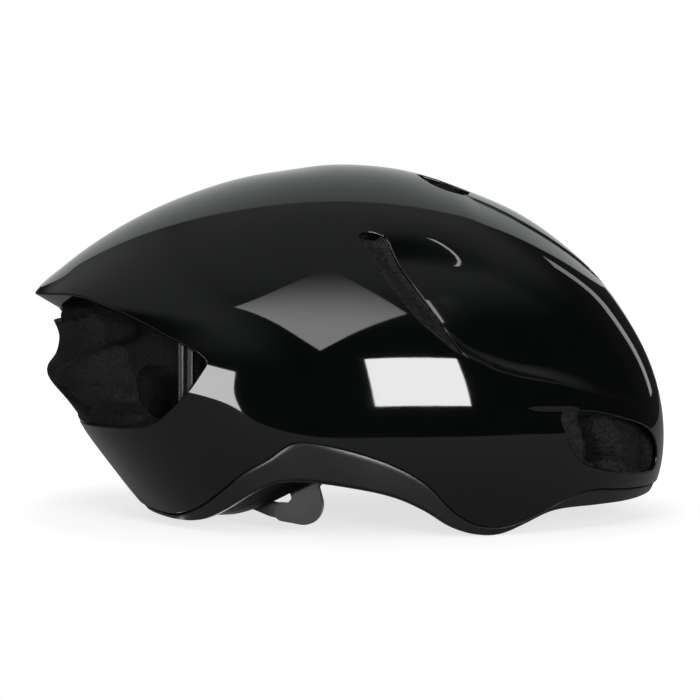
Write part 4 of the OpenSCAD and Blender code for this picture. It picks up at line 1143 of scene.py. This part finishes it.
def finish_node(name, made, width, smoother):
    """Material, merged corners, small round edges and smooth shading on a CAD node."""
    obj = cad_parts[name]
    dress(obj, made)
    obj.modifiers.new("merge", "WELD").merge_threshold = MERGE_DISTANCE
    bevel = obj.modifiers.new("edges", "BEVEL")
    bevel.width, bevel.segments, bevel.limit_method = width * MM, 2, "ANGLE"
    bevel.angle_limit = SMOOTH_ANGLE
    obj.modifiers.new("smooth", "NODES").node_group = smoother
    normal = obj.modifiers.new("faces", "WEIGHTED_NORMAL")
    normal.keep_sharp = True


HARDWARE = {0.45: ["buckle_socket", "buckle_plug", "strap_divider_left", "strap_divider_right",
                   "ring_arm_left", "ring_arm_right", "strap_anchors"],
            0.3: ["dial_housing", "housing_cover", "dial_knob", "buckle_prong_front", "buckle_prong_rear",
                  "pivot_anchor_left", "pivot_anchor_right"],
            0.12: ["ratchet_ring", "pinion", "rack_left", "rack_right"]}


def finish_hardware():
    smoother = angle_smooth()
    for width, names in HARDWARE.items():
        for name in names:
            finish_node(name, NYLON, width, smoother)
    finish_node("rear_vent_struts", SATIN, 0.3, smoother)
    finish_node("strap_keeper", RUBBER, 0.2, smoother)
    finish_node("dial_grip", RUBBER, 0.15, smoother)
    for name in ("cover_screws", "dial_screw"):
        finish_node(name, STEEL, 0.15, smoother)


def place(obj, made, body, slot, *nodes):
    """Dresses a finished piece, hides the CAD nodes it stands for and hangs it on its body; the slot is not
    used.
    """
    dress(obj, made)
    if nodes:
        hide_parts(*nodes)
    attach(obj, body)


# Materials
def group_of(name, inputs, outputs):
    tree = bpy.data.node_groups.new(name, "ShaderNodeTree")
    for label, value in inputs:
        socket = tree.interface.new_socket(label, in_out="INPUT", socket_type="NodeSocketFloat")
        socket.default_value = value
    for label, kind in outputs:
        tree.interface.new_socket(label, in_out="OUTPUT", socket_type=kind)
    return tree, tree.nodes.new("NodeGroupInput"), tree.nodes.new("NodeGroupOutput")


def node(tree, kind, inputs=None, **settings):
    made = tree.nodes.new(kind)
    for name, value in settings.items():
        setattr(made, name, value)
    for name, value in (inputs or {}).items():
        socket = made.inputs[name]
        if isinstance(value, bpy.types.NodeSocket):
            tree.links.new(value, socket)
        else:
            socket.default_value = value
    return made


def grain_group():
    """Fine moulded grain: a height for bump and a cloudy mask for roughness."""
    tree, start, end = group_of("moulded_grain", [("Size", 1.0)],
                                [("Height", "NodeSocketFloat"), ("Cloud", "NodeSocketFloat")])
    place = node(tree, "ShaderNodeTexCoord")
    scale = node(tree, "ShaderNodeMath", {0: 1.0, 1: start.outputs["Size"]}, operation="DIVIDE")
    fine = node(tree, "ShaderNodeMath", {0: scale.outputs[0], 1: 1000.0}, operation="MULTIPLY")
    grain = node(tree, "ShaderNodeTexNoise", {"Vector": place.outputs["Object"],
                                              "Scale": fine.outputs[0], "Detail": 2.0})
    cloud = node(tree, "ShaderNodeTexNoise", {"Vector": place.outputs["Object"], "Scale": 28.0,
                                              "Detail": 4.0, "Roughness": 0.6})
    tree.links.new(grain.outputs["Fac"], end.inputs["Height"])
    tree.links.new(cloud.outputs["Fac"], end.inputs["Cloud"])
    return tree


def material(name):
    made = bpy.data.materials.new(name)
    made.use_nodes = True
    tree = made.node_tree
    tree.nodes.clear()
    out = tree.nodes.new("ShaderNodeOutputMaterial")
    shader = tree.nodes.new("ShaderNodeBsdfPrincipled")
    tree.links.new(shader.outputs[0], out.inputs[0])
    return made, tree, shader


def spread(tree, value, low, high, from_low=0.3, from_high=0.7):
    return node(tree, "ShaderNodeMapRange", {"Value": value, "From Min": from_low, "From Max": from_high,
                                             "To Min": low, "To Max": high}).outputs["Result"]


def tint(tree, value, dark, light, low=0.3, high=0.7):
    ramp_node = node(tree, "ShaderNodeValToRGB", {"Fac": value})
    ramp_node.color_ramp.elements[0].position = low
    ramp_node.color_ramp.elements[0].color = (*dark, 1)
    ramp_node.color_ramp.elements[1].position = high
    ramp_node.color_ramp.elements[1].color = (*light, 1)
    return ramp_node.outputs["Color"]


def bumped(tree, shader, height, distance, strength=1.0):
    bump = node(tree, "ShaderNodeBump", {"Height": height, "Distance": distance, "Strength": strength})
    tree.links.new(bump.outputs["Normal"], shader.inputs["Normal"])


GRAIN = grain_group()


def stepped(tree, value, low, high):
    return node(tree, "ShaderNodeMapRange", {"Value": value, "From Min": low, "From Max": high,
                                             "To Min": 0.0, "To Max": 1.0},
                interpolation_type="SMOOTHSTEP").outputs["Result"]


def maths(tree, how, a, b):
    return node(tree, "ShaderNodeMath", {0: a, 1: b}, operation=how).outputs[0]


def plastic(name, dark, light, rough, grain_mm, bump_mm):
    made, tree, shader = material(name)
    grain = node(tree, "ShaderNodeGroup", node_tree=GRAIN)
    grain.inputs["Size"].default_value = grain_mm
    tree.links.new(tint(tree, grain.outputs["Cloud"], dark, light), shader.inputs["Base Color"])
    tree.links.new(spread(tree, grain.outputs["Cloud"], *rough), shader.inputs["Roughness"])
    bumped(tree, shader, grain.outputs["Height"], bump_mm * MM)
    return made


def foam_material():
    """Fused beads: dark cells with lighter skins, pits where they meet."""
    made, tree, shader = material("bead_foam")
    place = node(tree, "ShaderNodeTexCoord").outputs["Object"]
    bead = node(tree, "ShaderNodeTexVoronoi", {"Vector": place, "Scale": 620.0})
    edge = node(tree, "ShaderNodeTexVoronoi", {"Vector": place, "Scale": 620.0}, feature="DISTANCE_TO_EDGE")
    fleck = node(tree, "ShaderNodeTexNoise", {"Vector": place, "Scale": 1500.0, "Detail": 2.0})
    mixed = node(tree, "ShaderNodeMix", {"Factor": 0.45}, data_type="RGBA", blend_type="OVERLAY")
    cells = tint(tree, bead.outputs["Color"], (0.0035, 0.0035, 0.0033), (0.013, 0.0133, 0.013), 0.1, 0.9)
    tree.links.new(cells, mixed.inputs[6])
    tree.links.new(tint(tree, fleck.outputs["Fac"], (0.2, 0.2, 0.2), (0.8, 0.8, 0.8), 0.35, 0.65),
                   mixed.inputs[7])
    x, _, _ = node(tree, "ShaderNodeSeparateXYZ", {0: place}).outputs
    hollow = node(tree, "ShaderNodeAttribute", attribute_name="hollow").outputs["Fac"]
    # painted shade: the colour drops to 0.06 on the faces marked deep in the air channels
    front, painted_hollow_shade = spread(tree, x, 0.45, 1.1, -0.06, -0.04), spread(tree, hollow, 1, 0.06, 0, 1)
    # painted shade and light: the foam colour is scaled to 0.45 behind x = -60 mm, rising to 1.1 ahead of x
    # = -40 mm
    light = maths(tree, "MULTIPLY", front, painted_hollow_shade)
    shade = node(tree, "ShaderNodeVectorMath", {0: mixed.outputs[2], 3: light}, operation="SCALE")
    tree.links.new(shade.outputs[0], shader.inputs["Base Color"])
    shader.inputs["Roughness"].default_value = 0.66
    shader.inputs["Specular IOR Level"].default_value = 0.16
    bumped(tree, shader, spread(tree, edge.outputs["Distance"], 0, 1, 0.0, 0.25), 0.18 * MM)
    return made


GLOSS = plastic("gloss_black", (0.0007, 0.0009, 0.0009), (0.0011, 0.0014, 0.0014), (0.03, 0.05), 2.2, 0.0012)
SATIN = plastic("satin_black", (0.0035, 0.0038, 0.0038), (0.0055, 0.006, 0.006), (0.28, 0.36), 0.6, 0.006)
NYLON = plastic("moulded_nylon", (0.004, 0.0042, 0.0042), (0.008, 0.0082, 0.008), (0.36, 0.48), 0.35, 0.012)
RUBBER = plastic("soft_rubber", (0.012, 0.012, 0.012), (0.02, 0.02, 0.02), (0.7, 0.85), 0.3, 0.02)
STEEL = plastic("screw_steel", (0.5, 0.5, 0.52), (0.62, 0.62, 0.64), (0.25, 0.35), 0.4, 0.005)
STEEL.node_tree.nodes["Principled BSDF"].inputs["Metallic"].default_value = 1.0
FOAM = foam_material()


def fabric_material():
    """Brushed knit: a net of small loops, with a soft nap."""
    made, tree, shader = material("pad_knit")
    place_at = node(tree, "ShaderNodeTexCoord").outputs["Object"]
    loops = node(tree, "ShaderNodeTexVoronoi", {"Vector": place_at, "Scale": 900.0, "Randomness": 0.35})
    nap = node(tree, "ShaderNodeTexNoise", {"Vector": place_at, "Scale": 420.0, "Detail": 5.0,
                                            "Roughness": 0.7})
    both = maths(tree, "ADD", maths(tree, "MULTIPLY", loops.outputs["Distance"], 1.0),
                 maths(tree, "MULTIPLY", nap.outputs["Fac"], 0.8))
    tree.links.new(tint(tree, both, (0.014, 0.014, 0.0155), (0.06, 0.06, 0.065), 0.35, 1.0),
                   shader.inputs["Base Color"])
    shader.inputs["Roughness"].default_value = 0.92
    shader.inputs["Sheen Weight"].default_value = 0.25
    shader.inputs["Sheen Roughness"].default_value = 0.5
    bumped(tree, shader, both, 0.14 * MM)
    return made


def webbing_material():
    """Woven polyester: chevron ribs across the strap, yarn by yarn, with plain selvedges."""
    made, tree, shader = material("woven_webbing")
    weave = node(tree, "ShaderNodeUVMap", uv_map="weave").outputs[0]
    u, v, _ = node(tree, "ShaderNodeSeparateXYZ", {0: weave}).outputs
    fold = maths(tree, "PINGPONG", maths(tree, "ADD", u, 30.0), 1.9)
    rib = maths(tree, "SINE", maths(tree, "MULTIPLY", maths(tree, "ADD", v, fold), 2 * math.pi / 1.15), 0.0)
    yarn = maths(tree, "SINE", maths(tree, "MULTIPLY", u, 2 * math.pi / 0.62), 0.0)
    edge = stepped(tree, maths(tree, "ABSOLUTE", u, 0.0), 5.9, 6.2)
    body = maths(tree, "ADD", maths(tree, "MULTIPLY", rib, 0.5), maths(tree, "MULTIPLY", yarn, 0.3))
    pick = maths(tree, "SINE", maths(tree, "MULTIPLY", v, 2 * math.pi / 0.8), 0.0)
    plain = maths(tree, "MULTIPLY", pick, 0.35)
    woven = node(tree, "ShaderNodeMix", {0: edge, 2: body, 3: plain}, data_type="FLOAT").outputs[0]
    place_at = node(tree, "ShaderNodeTexCoord").outputs["Object"]
    fuzz = node(tree, "ShaderNodeTexNoise", {"Vector": place_at, "Scale": 2600.0, "Detail": 3.0})
    height = maths(tree, "ADD", woven, maths(tree, "MULTIPLY", fuzz.outputs["Fac"], 0.5))
    tree.links.new(tint(tree, spread(tree, height, 0, 1, -0.6, 1.2), (0.008, 0.008, 0.0088),
                        (0.045, 0.045, 0.048), 0.1, 0.9), shader.inputs["Base Color"])
    shader.inputs["Roughness"].default_value = 0.62
    shader.inputs["Sheen Weight"].default_value = 0.12
    bumped(tree, shader, height, 0.09 * MM)
    return made


FABRIC, WEBBING = fabric_material(), webbing_material()
THREAD = plastic("sewing_thread", (0.03, 0.03, 0.032), (0.05, 0.05, 0.053), (0.6, 0.75), 0.2, 0.03)


def dress(obj, made):
    obj.data.materials.clear()
    obj.data.materials.append(made)


# Stage: camera, floor and lights
CAMERA_LENS, CAMERA_AWAY, CAMERA_LIFT, CAMERA_AIM = 201.2, 1.8, math.radians(4), 0.0762


def photo_camera():
    """Camera on the wearer's right, as in the photograph."""
    camera = bpy.data.cameras.new("photo_camera")
    camera.sensor_width, camera.lens = 36, CAMERA_LENS
    holder = bpy.data.objects.new("photo_camera", camera)
    holder.location = Vector((0, -CAMERA_AWAY * math.cos(CAMERA_LIFT),
                              CAMERA_AIM + CAMERA_AWAY * math.sin(CAMERA_LIFT)))
    holder.rotation_euler = (math.radians(90) - CAMERA_LIFT, 0, 0)
    bpy.context.scene.collection.objects.link(holder)
    bpy.context.scene.camera = holder


def softbox(name, azimuth, height, distance, size, radiance, turn=0.0, soft=0.0):
    """Area lamp that faces the helmet from an azimuth (0 on the camera's side, 90 ahead) and height."""
    lamp = bpy.data.lights.new(name, "AREA")
    lamp.shape, lamp.size, lamp.size_y = "RECTANGLE", size[0], size[1]
    lamp.energy = 4 * radiance * size[0] * size[1]
    if soft:
        fade_lamp(lamp, soft)
    holder = bpy.data.objects.new(name, lamp)
    holder.visible_camera = False
    a, e = math.radians(azimuth), math.radians(height)
    way = Vector((math.sin(a) * math.cos(e), -math.cos(a) * math.cos(e), math.sin(e)))
    holder.location = Vector((0, 0, 0.08)) + distance * way
    holder.rotation_euler = (way.to_track_quat("Z", "Y").to_matrix()
                             @ Matrix.Rotation(math.radians(turn), 3, "Z")).to_euler()
    bpy.context.scene.collection.objects.link(holder)


def fade_lamp(lamp, soft):
    """Lets a lamp's cloth fade from its lower part to its upper corner."""
    lamp.use_nodes = True
    tree = lamp.node_tree
    tree.nodes.clear()
    out = tree.nodes.new("ShaderNodeOutputLight")
    spot = tree.nodes.new("ShaderNodeNewGeometry")
    along = node(tree, "ShaderNodeVectorMath", {0: spot.outputs["Parametric"], 1: (0.5, 0.5, 0.0)},
                 operation="DOT_PRODUCT")
    fade = node(tree, "ShaderNodeMapRange", {"Value": along.outputs["Value"], "From Min": 1.0 - soft,
                                             "From Max": 1.0, "To Min": 1.0, "To Max": 0.0},
                interpolation_type="SMOOTHSTEP")
    glow = node(tree, "ShaderNodeEmission", {"Strength": fade.outputs["Result"]})
    tree.links.new(glow.outputs[0], out.inputs[0])


def white_world():
    """White behind the helmet, and a dim studio with a pale backdrop for its reflections."""
    world = bpy.data.worlds.new("studio")
    world.use_nodes = True
    bpy.context.scene.world = world
    tree = world.node_tree
    tree.nodes.clear()
    out = tree.nodes.new("ShaderNodeOutputWorld")
    path = tree.nodes.new("ShaderNodeLightPath")
    way = node(tree, "ShaderNodeTexCoord").outputs["Generated"]
    x, y, z = node(tree, "ShaderNodeSeparateXYZ", {0: way}).outputs
    height = maths(tree, "MAXIMUM", z, 0.08)
    lean = maths(tree, "DIVIDE", x, height)
    bow = maths(tree, "MULTIPLY", maths(tree, "MULTIPLY", lean, lean), 1.6)
    past = maths(tree, "SUBTRACT", maths(tree, "DIVIDE", y, height), maths(tree, "ADD", bow, 0.44))
    backdrop = maths(tree, "MULTIPLY", stepped(tree, past, -0.03, 0.03), BACKDROP)
    behind = maths(tree, "MULTIPLY", x, -1.0)
    corner = maths(tree, "ADD", stepped(tree, behind, 0.45, 0.65), 1.0)
    backdrop = maths(tree, "MULTIPLY", backdrop, corner)
    above = maths(tree, "MULTIPLY", stepped(tree, behind, 0.2, 0.6), stepped(tree, z, 0.2, 0.45))
    rear = maths(tree, "MULTIPLY", above, REAR_WALL)
    dome = maths(tree, "MULTIPLY", stepped(tree, z, 0.5, 0.95), CEILING)
    glow = maths(tree, "ADD", maths(tree, "MAXIMUM", backdrop, maths(tree, "MAXIMUM", rear, dome)), ROOM)
    room = node(tree, "ShaderNodeBackground", {"Color": (0.97, 0.99, 1, 1), "Strength": glow})
    white = node(tree, "ShaderNodeBackground", {"Color": (1, 1, 1, 1), "Strength": 1.0})
    mix = node(tree, "ShaderNodeMixShader", {0: path.outputs["Is Camera Ray"]})
    tree.links.new(room.outputs[0], mix.inputs[1])
    tree.links.new(white.outputs[0], mix.inputs[2])
    tree.links.new(mix.outputs[0], out.inputs[0])


ROOM, BACKDROP, REAR_WALL, CEILING = 0.03, 0.6, 0.3, 0.28


def pale_floor():
    """Pale table top: white to the camera, with the helmet's shadow, and clear from below."""
    corners = [(-700, -330, 0), (700, -330, 0), (700, 1500, 0), (-700, 1500, 0)]
    floor = make_object("floor", corners, [[0, 1, 2, 3]], smooth=False)
    made = bpy.data.materials.new("pale_floor")
    made.use_nodes = True
    tree = made.node_tree
    tree.nodes.clear()
    out = tree.nodes.new("ShaderNodeOutputMaterial")
    path = tree.nodes.new("ShaderNodeLightPath")
    side = tree.nodes.new("ShaderNodeNewGeometry")
    card = node(tree, "ShaderNodeBsdfDiffuse", {"Color": (0.46, 0.46, 0.46, 1)})
    spot = node(tree, "ShaderNodeTexCoord").outputs["Object"]
    away = node(tree, "ShaderNodeVectorMath", {0: spot}, operation="LENGTH").outputs["Value"]
    bright = node(tree, "ShaderNodeMapRange", {"Value": away, "From Min": 0.14, "From Max": 0.24,
                                               "To Min": 0.72, "To Max": 1.0}).outputs["Result"]
    lift = maths(tree, "MULTIPLY", path.outputs["Is Camera Ray"], bright)
    white = node(tree, "ShaderNodeEmission", {"Color": (1, 1, 1, 1), "Strength": lift})
    add = tree.nodes.new("ShaderNodeAddShader")
    tree.links.new(card.outputs[0], add.inputs[0])
    tree.links.new(white.outputs[0], add.inputs[1])
    clear = tree.nodes.new("ShaderNodeBsdfTransparent")
    mix = node(tree, "ShaderNodeMixShader", {0: side.outputs["Backfacing"]})
    tree.links.new(add.outputs[0], mix.inputs[1])
    tree.links.new(clear.outputs[0], mix.inputs[2])
    tree.links.new(mix.outputs[0], out.inputs[0])
    dress(floor, made)


# Putting it together
photo_camera()
white_world()
pale_floor()
softbox("front_box", 18, 9, 1.6, (0.6, 0.52), 16, turn=4)
softbox("rear_box", -40, -1, 1.6, (0.44, 0.62), 9.5, turn=-6)
softbox("octabox", -6, 41, 1.6, (0.84, 0.84), 3.4, turn=45, soft=0.8)
softbox("streak_strip", 31, 41, 1.6, (0.035, 0.36), 5)
softbox("floor_bounce", 0, -90, 0.079, (0.16, 0.11), 1.4)
softbox("edge_strip", 139, 17, 1.6, (0.15, 0.9), 0.9)

place(build_upper_shell(), GLOSS, "helmet", "shell_gloss", "upper_shell")
place(build_lower_shell(), SATIN, "helmet", "shell_satin", "lower_shell")
place(build_foam(), FOAM, "helmet", "foam", "eps_liner")
build_pads()
build_straps()
build_belts()
finish_hardware()

bpy.context.scene.view_settings.view_transform = "Standard"
